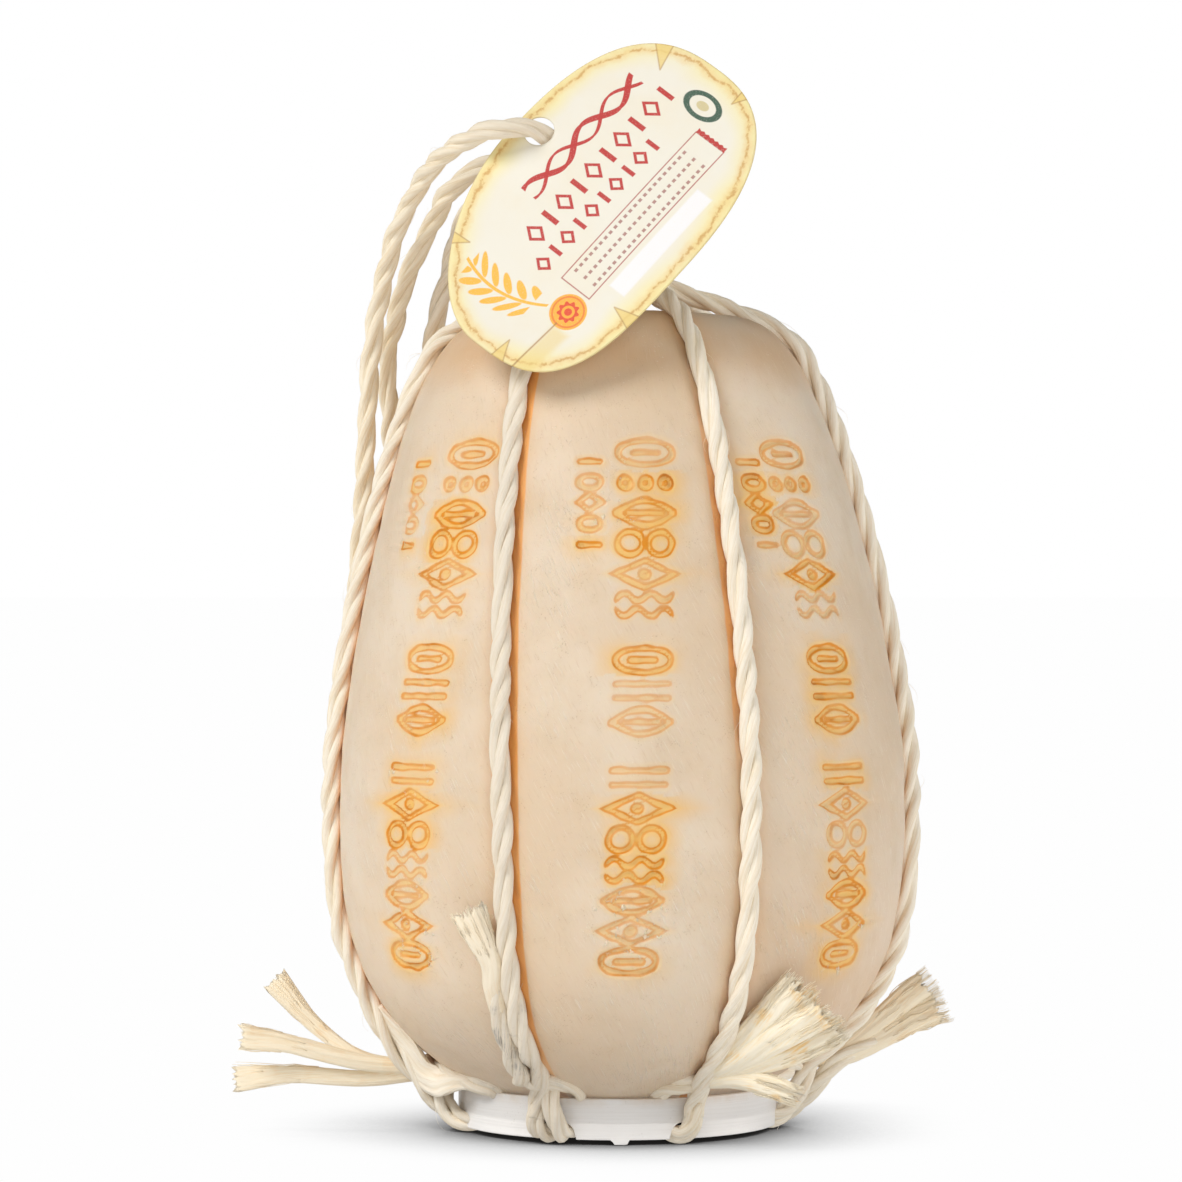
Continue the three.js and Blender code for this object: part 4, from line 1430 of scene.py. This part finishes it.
def one_lobe(index, z, crest):
    """One lobe from its cord to the next, as (azimuth, radius) and the marks at each point. Its
    radius is the crest's, less the flute's depth times one less the bulge, which is the sine of
    the way across raised to a power. Columns are closest together under the stamp."""
    name, following = NAMES[index], NAMES[(index + 1) % len(NAMES)]
    start = azimuth_at(name, z)
    end = azimuth_at(following, z) + 360 * (index == len(NAMES) - 1)
    span = end - start
    per_mm = np.degrees(1 / np.maximum(crest, 20.0))
    middle = (stamp_azimuth(name, z) - BAND_LEFT * per_mm - start) / span
    half = np.minimum(BAND_HALF * per_mm / span, 0.3)
    middle = np.clip(middle, half + 0.1, 0.9 - half)
    low, high = middle - half, middle + half
    near = np.linspace(0, 1, SIDE_COLUMNS + 1)[:-1] ** 1.35
    band = np.linspace(0, 1, BAND_COLUMNS)[None]
    across = np.hstack(
        [low * near, low + (high - low) * band, high + (1 - high) * (1 - near[:0:-1])]
    )
    azimuth = start + span * across
    bulge = np.sin(np.pi * np.clip(across, 0, 1)) ** LOBE_ROUNDNESS
    radius = crest - flute_depth(crest) * (1 - bulge)
    right = np.interp(z, OIL_Z, OIL_RIGHT[name])
    left = np.interp(z, OIL_Z, OIL_LEFT[following])
    x = np.radians(azimuth - stamp_azimuth(name, z)) * crest
    distance, ink = stamp_distance(name, x, z + 0 * x)
    return {
        "azimuth": azimuth,
        "radius": radius,
        "cord_mm": np.minimum(across, 1 - across) * np.radians(span) * crest,
        "oil_mm": np.where(across < 0.5, right, left),
        "stamp_mm": distance,
        "stamp_ink": ink,
    }


def surface_normal(grid):
    """Square to the surface and away from the axis, straight up where rows close to a point."""
    down = np.gradient(grid, axis=0)
    round_it = np.roll(grid, -1, 1) - np.roll(grid, 1, 1)
    normal = np.cross(down, round_it)
    length = np.linalg.norm(normal, axis=-1, keepdims=True)
    normal = np.where(length > 1e-9, normal / np.maximum(length, 1e-9), [0, 0, 1])
    return normal * np.sign((normal * grid).sum(-1, keepdims=True) + 1e-9)


def relief(grid, crest, cord_mm, stamp_mm):
    """How far the surface stands out: soft unevenness, the stamps' pressed lines with a raised
    rim, and a slight swelling where a cord bites."""
    push = 0.22 * ripple(grid, 34, 11) + 0.09 * ripple(grid, 11, 12)
    push *= smoothstep(0, 12, crest)
    rim = smoothstep(2.4, 1.2, stamp_mm) * smoothstep(0.5, 1.1, stamp_mm)
    worn = 0.8 + 0.22 * ripple(grid, 24, 13)
    push += worn * (0.16 * rim - 0.6 * smoothstep(STROKE + 0.35, 0.25, stamp_mm))
    cord_bite = 0.35 * smoothstep(9, 5, cord_mm) * smoothstep(2.5, 5, cord_mm)
    return push + cord_bite * smoothstep(20, 60, crest)


def cheese_shape():
    """The cheese over (row, column): its six lobes side by side, swayed, and pushed in or out
    along the surface's own normal by the relief."""
    z = cheese_rows()[:, None]
    crest = crest_radius(z)
    lobes = [one_lobe(index, z, crest) for index in range(len(NAMES))]
    marks = {key: np.concatenate([lobe[key] for lobe in lobes], 1) for key in lobes[0]}
    azimuth = marks.pop("azimuth")
    grid = outward(azimuth) * marks.pop("radius")[..., None]
    grid[..., 0] += sway(z)
    grid[..., 2] = z
    stamp_mm = marks["stamp_mm"]
    push = relief(grid, crest, marks["cord_mm"], stamp_mm)
    grid = grid + surface_normal(grid) * push[..., None]
    marks["stamp_mm"] = np.maximum(stamp_mm + 0.16 * ripple(grid, 5.0, 14) * (stamp_mm < 4), 0)
    return grid, azimuth, z, marks


def make_cheese():
    """The cheese as one closed piece, unrolled flat round its widest girth for its UV map."""
    grid, azimuth, z, marks = cheese_shape()
    patch = Patch(grid, capped=True, v=z[:, 0], flip=True)
    turned = np.append(azimuth, azimuth[:, :1] + 360, 1)
    columns = grid.shape[1]
    quad = patch.faces[0][:, ::-1]
    row, column = np.divmod(np.arange(len(quad)), columns)
    row, column = row[:, None], column[:, None]
    below = row + np.array([0, 0, 1, 1])
    along = column + np.array([0, 1, 1, 0])
    u = np.radians(turned[below, along]) * WIDEST_R
    uv = np.stack([u, np.broadcast_to(z[:, 0][below], u.shape)], -1)
    patch.corners[0] = uv[:, ::-1]
    middles = {"cord_mm": 20.0, "stamp_mm": 20.0, "oil_mm": 0.0, "stamp_ink": 0.0}
    values = {key: np.append(mark.ravel(), [middles[key]] * 2) for key, mark in marks.items()}
    piece("cheese_rind", [patch], [RIND_PAINT], ["cheese"], values)


# ---- Making it --------------------------------------------------------------------------------

CORD_PAINT = new_material(
    "cord_fibre",
    cord_fibre(tone(251, 242, 225), tone(244, 230, 206), tone(219, 196, 160), 0.08),
    Specular_IOR_Level=0.25,
)
LOOP_PAINT = new_material(
    "loop_fibre",
    cord_fibre(tone(251, 240, 218), tone(243, 226, 196), tone(214, 187, 146), 0.04),
    Specular_IOR_Level=0.25,
)
FLUFF_PAINT = new_material(
    "combed_fibre",
    fluff(tone(253, 243, 221), tone(251, 234, 200), tone(244, 204, 132), 0.75),
    Specular_IOR_Level=0.2,
    Sheen_Weight=0.15,
    Sheen_Roughness=0.6,
)
SATIN_PAINT = new_material(
    "satin_fibre",
    fluff(tone(253, 240, 214), tone(249, 229, 194), tone(240, 202, 148), 0.35),
    Specular_IOR_Level=0.3,
    Sheen_Weight=0.1,
    Sheen_Roughness=0.6,
)
RIND_PAINT = new_material(
    "rind",
    rind,
    Specular_IOR_Level=0.35,
    Subsurface_Weight=0.22,
    Subsurface_Scale=0.004,
    Subsurface_Radius=(1.0, 0.55, 0.28),
)
PLASTIC_PAINT = new_material(
    "milky_plastic",
    base_plastic,
    Subsurface_Weight=0.3,
    Subsurface_Scale=0.002,
    Subsurface_Radius=(1.0, 0.95, 0.9),
    Coat_Weight=0.1,
)
CARD_PAINT = new_material("printed_card", card_print, Specular_IOR_Level=0.4)
CARD_BACK_PAINT = new_material("card_back", card_back, Specular_IOR_Level=0.3)


def make_loop():
    """The hanging loop, a free rope: out of the knot, through the tag, down and back again."""
    line = smooth_route(LOOP)
    patches = laid_rope(line, CORD_R, 40)
    patches.append(stray_fibres(line, CORD_R, 16, 41))
    rope = piece("loop_rope", patches, [LOOP_PAINT], ["hanging_loop"])
    return rope, line


def make_tag():
    """The card tag, printed in front and plain behind, with each point's distance to its edge."""
    patch, local = card_patch()
    flat = local.reshape(-1, 3)
    reach = card_reach(flat[:, 0], flat[:, 1])
    step = 0.05
    rise_x = (card_reach(flat[:, 0] + step, flat[:, 1]) - reach) / step
    rise_y = (card_reach(flat[:, 0], flat[:, 1] + step) - reach) / step
    edge = np.clip((1 - reach) / np.maximum(np.hypot(rise_x, rise_y), 0.02), 0, 30)
    rays = local.shape[1]
    row = np.repeat(np.arange(len(local)), rays)
    behind = (row >= len(local) // 2).astype(int)
    return piece(
        "card_tag",
        [patch],
        [CARD_PAINT, CARD_BACK_PAINT],
        ["tag"],
        {"edge_mm": edge},
        behind,
    )


loop_piece, loop_line = make_loop()
tag_piece = make_tag()
[MM * value for value in LOOP[0]]
round(float(run_of(loop_line)[-1]) * MM, 3)
(loop_line * MM).tolist()

make_cheese()


# ---- Binding cords and their frayed ends ------------------------------------------------------


# Each lock of a cord's cut end: its route, half its width and half its thickness on the way, where
# its thin side faces, its seed, and where they differ from Lock's own, ribs, ragged and solid.
FRONT, BACK = (0.1, -1, 0.1), (0.6, 0.8, 0)
LOCKS = {
    # unlaid into three strands, each cut square and slightly fanned
    "left": [
        ([(-49, -3, 17.6), (-56, -4, 16.6), (-68, -3, 18.2), (-81, 2, 26.5), (-92, 4, 38.6)],
         [2.0, 2.2, 2.1, 2.4, 3.7], [1.8, 1.9, 1.7, 1.3, 1.1], (0.15, -1, 0.25), 501, 4, 1.1, 1.0),
        ([(-49, -4, 17), (-56, -7, 16.6), (-68, -10, 18), (-87, -12, 23), (-99.6, -13, 25.2)],
         [2.0, 2.3, 2.4, 2.6, 3.7], [1.9, 2.0, 1.8, 1.4, 1.2], (0.1, -1, 0.3), 502, 4, 0.9, 1.0),
        ([(-49, -4, 15), (-56, -6.5, 14.4), (-68, -8, 13.4), (-86, -7, 14.4), (-101.6, -7, 13.4)],
         [2.0, 2.2, 2.3, 2.4, 3.6], [1.9, 1.9, 1.7, 1.3, 1.1], (0.1, -1, 0.15), 503, 3, 1.0, 1.0),
    ],
    "front_left": [
        ([(-32.2, -67.8, 49), (-35, -69.4, 55.5), (-38.2, -70.2, 63)],
         [2.4, 2.85, 3.1, 3.8, 4.6], [2.2, 2.55, 2.1, 1.6, 1.2], (-0.2, -1, 0.1), 511, 4, 1.2, 0.98),
    ],
    "front_right": [
        ([(23.5, -46, 20), (28, -53, 24.5), (37.2, -60, 33.5), (46.4, -63.5, 43)],
         [2.6, 3.4, 4.6, 4.9], [2.4, 2.5, 2.4, 1.9], FRONT, 521, 5, 0.8, 0.98),
        ([(23.5, -46, 19), (29, -54, 22.5), (40, -60.5, 30.5), (51.6, -63, 38)],
         [2.6, 3.4, 5.0, 5.6], [2.4, 2.6, 2.7, 2.1], FRONT, 522, 5, 0.8, 0.98),
        ([(23.5, -46, 18), (30, -52.5, 21), (43, -57, 25.5), (56.5, -58, 31.6)],
         [2.6, 3.4, 4.0, 3.2], [2.4, 2.5, 2.4, 1.8], (0.1, -1, 0), 523, 5, 0.8, 0.98),
        ([(23.5, -47, 17.4), (30, -52, 18.2), (38, -56, 16.8), (45.2, -57, 14.4)],
         [2.5, 2.9, 3.0, 2.6], [2.2, 2.4, 2.2, 1.7], (0.1, -1, -0.1), 524, 4, 2.2),
    ],
    "right": [
        ([(49.5, 1, 18), (60, 2.5, 20.5), (69, 4, 26.5), (77, 5, 33), (85.2, 5.5, 38.6)],
         [2.1, 2.6, 3.3, 3.8, 4.1], [2.1, 2.2, 2.1, 1.8, 1.5], FRONT, 531, 4),
        ([(49.5, 0, 17.4), (60, 1.5, 18.4), (70, 3.5, 22.6), (80, 5, 27.8), (88.6, 5.5, 31.2)],
         [2.1, 2.5, 3.0, 3.3, 3.6], [2.1, 2.2, 2.1, 1.9, 1.6], FRONT, 532, 4),
    ],
    "back_right": [
        ([(36, 50, 18.5), (47, 57, 22), (61, 64.5, 31)],
         [2.1, 2.9, 4.0, 5.6], [2.1, 2.3, 2.3, 2.0], BACK, 541),
        ([(36, 50, 17.5), (48, 56.5, 18.5), (66, 66, 20)],
         [2.1, 2.8, 3.8, 5.0], [2.1, 2.3, 2.3, 2.0], BACK, 542),
    ],
    "back_left": [
        ([(-48, 61, 42.5), (-52.5, 62, 48), (-57.2, 63, 53.4)],
         [2.1, 2.3, 2.9, 3.9, 5.2], [2.1, 2.1, 2.0, 1.7, 1.4], (-0.6, 0.8, 0.1), 551, 4),
    ],
}
BACK_RIGHT_ROOT = (48.2, -3.5, 18.2)


def lock_root(name):
    """What a cord's locks grow from: the end of its climb, or of its tie at the back right."""
    if name in CLIMBS:
        return list(climb_route(name)[-2:])
    if name == "back_right":
        return [beside_cord(azimuth_at(name, 0.0), *BACK_RIGHT_ROOT)]
    return []


def locks_of(name):
    """The fanned end of a cord: a few locks that part from one root."""
    return [Lock([*lock_root(name), *route], *rest) for route, *rest in LOCKS[name]]


SATIN_ENDS = ("left", "front_left", "right")
# loose fibres in each lock
FIBRE_COUNT = dict(zip(NAMES, (26, 100, 260, 60, 420, 380)))
# how much wider than tight a flank's twist grows on its way down to the ring
LOOSER = {
    "left": lambda z: 0.3 * smoothstep(42, 22, z) + 0.3 * smoothstep(16, 8, z),
    "right": lambda z: 0.4 * smoothstep(30, 12, z),
}
TIGHT_AGAIN_Z = (2, 9)


def make_cord(name, number):
    """One binding cord: its flank down the flute, its tie round the ring, and its cut end."""
    flank = smooth_route(flank_route(name))
    tie = tie_route(name)
    climb = list(climb_route(name)) if name in CLIMBS else []
    tied = smooth_route(tie + climb)
    loosen = None
    if name in LOOSER:
        z = flank[:, 2]
        loosen = 1 + LOOSER[name](z) * smoothstep(*TIGHT_AGAIN_Z, z)
    ropes = laid_rope(flank, CORD_R, number, start_turn=number, loosen=loosen)
    ropes += laid_rope(tied, TIE_R, number + 20, start_turn=2.0 + number)
    if name in SECOND_PASS:
        second = smooth_route(pass_over(name, SECOND_PASS[name]))
        ropes += laid_rope(second, TIE_R, number + 30, start_turn=1.0 + number)
    if name == "left":
        loose = pass_over(name, LOOSE_STRAND)
        wide, thin = [2.8, 4.3, 3.8, 1.6], [1.4, 1.7, 1.7, 1.4]
        ropes.append(Lock(loose, wide, thin, (-1, -0.6, 0.3), 505, ragged=0.1).body())
    ropes.append(stray_fibres(flank, CORD_R, 14, number + 60))
    node = "cord_" + name
    piece("rope_" + name, ropes, [CORD_PAINT], [node])
    locks = locks_of(name)
    ends = [lock.body() for lock in locks]
    overrun = 0.7 if name in SATIN_ENDS else 1.7
    ends += [lock.fibres(FIBRE_COUNT[name], overrun) for lock in locks]
    paint = SATIN_PAINT if name in SATIN_ENDS else FLUFF_PAINT
    piece("frayed_end_" + name, ends, [paint])


for number, name in enumerate(NAMES):
    make_cord(name, number + 1)


# ---- Knot -------------------------------------------------------------------------------------


def make_knot():
    """Three turns of rope wound round the gathered cords, whose cut ends show in the middle."""
    bulge = (KNOT_Z[1] - KNOT_Z[0]) / KNOT_TURNS / 2
    angle = np.linspace(-0.06 * TAU, (KNOT_TURNS + 0.06) * TAU, 150)
    out = KNOT_R - bulge - 0.1
    climb = KNOT_Z[0] + bulge + (KNOT_Z[1] - KNOT_Z[0] - 2 * bulge) * np.clip(
        angle / TAU / KNOT_TURNS, 0, 1
    )
    line = np.stack([KNOT_X + out * np.cos(angle), out * np.sin(angle), climb], -1)
    patches = laid_rope(even(line, 1.0), bulge + 0.15, 71, lay=KNOT_LAY)
    spots = [(0, 0)] + [
        (5.1 * np.cos(turn), 5.1 * np.sin(turn)) for turn in np.arange(6) * TAU / 6 + 0.4
    ]
    for i, (x, y) in enumerate(spots):
        core = np.array([(KNOT_X + x, y, KNOT_Z[0] + 1), (KNOT_X + x * 0.96, y * 0.96, 234)])
        top = 238.0 - 0.8 * (i % 3)
        core = np.vstack([core, (KNOT_X + x * 0.9, y * 0.9, top)])
        patches += laid_rope(smooth_route(core), CORD_R * 0.92, 80 + i, start_turn=i)
    piece("knot_rope", patches, [CORD_PAINT], ["top_knot"])


make_knot()


# ---- Base ring --------------------------------------------------------------------------------

RING_R = 42.7
RING_WALL = 1.5
RING_Z = (1.2, 11.9)
RING_EDGE = 0.35
NIB_HALF = 2.0
NIB_FADE = 0.25
# middles of the mouths beside each cord, in millimetres along the ring
MOUTHS = {"left": (5, -3), "front_left": (-1.7, 3.6), "right": (2.6, -6)}
MOUTH_HALF = 3.1
MOUTH_TOP = 5.4


def turn_from(azimuth, other):
    """Degrees from one azimuth to another, from -180 to 180."""
    return (azimuth - other + 180) % 360 - 180


def nib_share(azimuth):
    """1 where one of three nibs stands, each half way between two cords, and 0 elsewhere."""
    cords = np.sort([azimuth_at(name, 0.0) % 360 for name in NAMES])
    middles = (cords + np.append(cords[1:], cords[0] + 360)) / 2 % 360
    apart = np.abs(turn_from(azimuth[:, None], middles[None, 1::2])).min(1)
    return smoothstep(NIB_HALF + NIB_FADE, NIB_HALF - NIB_FADE, np.radians(apart) * RING_R)


def mouth_share(azimuth):
    """1 at the top of the arch over each rope that passes under the ring, 0 beside it."""
    mouth = np.zeros_like(azimuth)
    for name in NAMES:
        turn = turn_from(azimuth, azimuth_at(name, 0.0))
        along = TIE_SIDE[name] * np.radians(turn) * RING_R
        for middle in MOUTHS.get(name, (2.0,)):
            share = np.clip(1 - ((along - middle) / MOUTH_HALF) ** 2, 0, 1)
            mouth = np.maximum(mouth, share**0.5)
    return mouth


def make_ring():
    """The ring's section carried round the axis: a wall with rounded edges, a faint groove half
    way up, and a bottom that drops to the floor at the nibs and rises at the mouths. Each point
    of the section is (radius, height, how much of a nib's drop it takes)."""
    azimuth = np.linspace(0, 360, 481)[:-1]
    nib, mouth = nib_share(azimuth), mouth_share(azimuth)
    low, high = RING_Z
    inner = RING_R - RING_WALL
    edge = RING_EDGE
    section = [
        (RING_R, low + 0.9, 0),
        (RING_R, 4.6, 0),
        (RING_R, 5.4, 0),
        (RING_R - 0.02, 5.8, 0),
        (RING_R - 0.02, 6.1, 0),
        (RING_R, 6.5, 0),
        (RING_R, 7.3, 0),
        (RING_R, high - edge - 0.3, 0),
        (RING_R, high - edge, 0),
        (RING_R - edge * 0.3, high - edge * 0.3, 0),
        (RING_R - edge, high, 0),
        (inner + edge, high, 0),
        (inner + edge * 0.3, high - edge * 0.3, 0),
        (inner, high - edge, 0),
        (inner, 6.0, 0),
        (inner, low + 0.9, 0),
        (inner, low + edge, 1),
        (inner + edge * 0.3, low + edge * 0.3, 1),
        (inner + edge, low, 1),
        (RING_R - edge, low, 1),
        (RING_R - edge * 0.3, low + edge * 0.3, 1),
        (RING_R, low + edge, 1),
        (RING_R, low + edge + 0.2, 1),
    ]
    radius, height, drops = np.array(section).T
    fall = nib[:, None] * drops[None] * RING_Z[0]
    grid = outward(azimuth)[:, None] * radius[None, :, None]
    grid[..., 2] = height[None] - fall
    grid[..., 2] += mouth[:, None] * (MOUTH_TOP - low) * (high - height[None]) / (high - low)
    patch = Patch(grid, capped=False, looped=True, flip=True)
    piece("ring_moulding", [patch], [PLASTIC_PAINT], ["base_ring"])


make_ring()


# ---- Studio -----------------------------------------------------------------------------------

CONTACT_REACH = 0.07
CRACK_REACH = 0.03
CONTACT_FROM, CONTACT_TO = -0.12, 0.72
FLOOR_GLOW = 0.98
GLOW_UNDER = 0.48  # the share of that glow that is left under the cheese
FLOOR_SIDE = 60.0
FLOOR_DROP = 0.0002


def studio_floor():
    """A pale floor. The eye sees it glow white, as if lit from below, with a painted contact
    shadow that is dark only close to what stands on it; to all else it is a white glow, dimmer
    under the cheese as painted shade."""
    material = bpy.data.materials.new("studio_floor")
    material.use_nodes = True
    paint = Paint(material.node_tree)
    material.node_tree.nodes.remove(material.node_tree.nodes["Principled BSDF"])
    # Painted contact shadow: the floor's glow darkens where ambient occlusion finds something close
    # above it.
    open_sky = paint.put("AmbientOcclusion", {"Distance": CONTACT_REACH}, samples=16)
    openness = paint.field(open_sky.outputs["AO"]).step(CONTACT_FROM, CONTACT_TO)
    white = paint.mix(openness, tone(70, 68, 66), tone(254, 254, 254))
    # and a darker core of painted shadow right under what stands on it
    crack = paint.put("AmbientOcclusion", {"Distance": CRACK_REACH}, samples=16)
    clear = paint.field(crack.outputs["AO"]).step(0.02, 0.5)
    white = paint.mix(clear, tone(24, 23, 22), white)
    bright = paint.put("Emission", {"Color": white, "Strength": 1.0}).outputs[0]
    x, y, _ = paint.apart(paint.place())
    away = (x * x + y * y).power(0.5)
    # the glow that lights the scene from below is dimmed under the cheese: painted shade
    glow = away.step(0.04, 0.12) * (FLOOR_GLOW * (1 - GLOW_UNDER)) + FLOOR_GLOW * GLOW_UNDER
    dim = paint.put("Emission", {"Color": tone(255, 253, 250), "Strength": glow}).outputs[0]
    seen = paint.put("LightPath").outputs["Is Camera Ray"]
    both = paint.put("MixShader", {0: seen, 1: dim, 2: bright}).outputs[0]
    output = material.node_tree.nodes["Material Output"]
    paint.feed(output.inputs["Surface"], both)
    return material


floor_mesh = bpy.data.meshes.new("floor")
near, far = -FLOOR_SIDE, 2 * FLOOR_SIDE
floor_corners = [(near, near, 0), (-near, near, 0), (-near, far, 0), (near, far, 0)]
floor_mesh.from_pydata(floor_corners, [], [(0, 1, 2, 3)])
floor_mesh.materials.append(studio_floor())
floor = bpy.data.objects.new("floor", floor_mesh)
floor.location.z = -FLOOR_DROP
bpy.context.scene.collection.objects.link(floor)


def soft_sun(name, azimuth, height, spread, strength, colour=(1, 1, 1)):
    """A broad, even light from one side, as a large softbox far away gives."""
    lamp = bpy.data.lights.new(name, "SUN")
    lamp.angle = np.radians(spread)
    lamp.energy = strength
    lamp.color = colour
    holder = bpy.data.objects.new(name, lamp)
    bpy.context.scene.collection.objects.link(holder)
    holder.rotation_euler = (np.radians(90 - height), 0, np.radians(azimuth))
    return holder


soft_sun("key", -50, 42, 28, 1.95, (1.0, 0.99, 0.97))
soft_sun("front_fill", 14, 4, 40, 0.68)
soft_sun("right_fill", 76, 8, 60, 1.4)
soft_sun("left_fill", -88, 14, 60, 0.3)

AMBIENT = 0.13
world = bpy.data.worlds.new("studio")
bpy.context.scene.world = world
world.use_nodes = True
sky = Paint(world.node_tree)
backdrop = world.node_tree.nodes["Background"]
backdrop.inputs["Color"].default_value = (1, 1, 1, 1)
seen = sky.put("LightPath").outputs["Is Camera Ray"]
level = sky.put("MapRange", {"Value": seen, "To Min": AMBIENT, "To Max": 1.0})
sky.feed(backdrop.inputs["Strength"], level.outputs[0])
bpy.context.scene.view_settings.view_transform = "Standard"
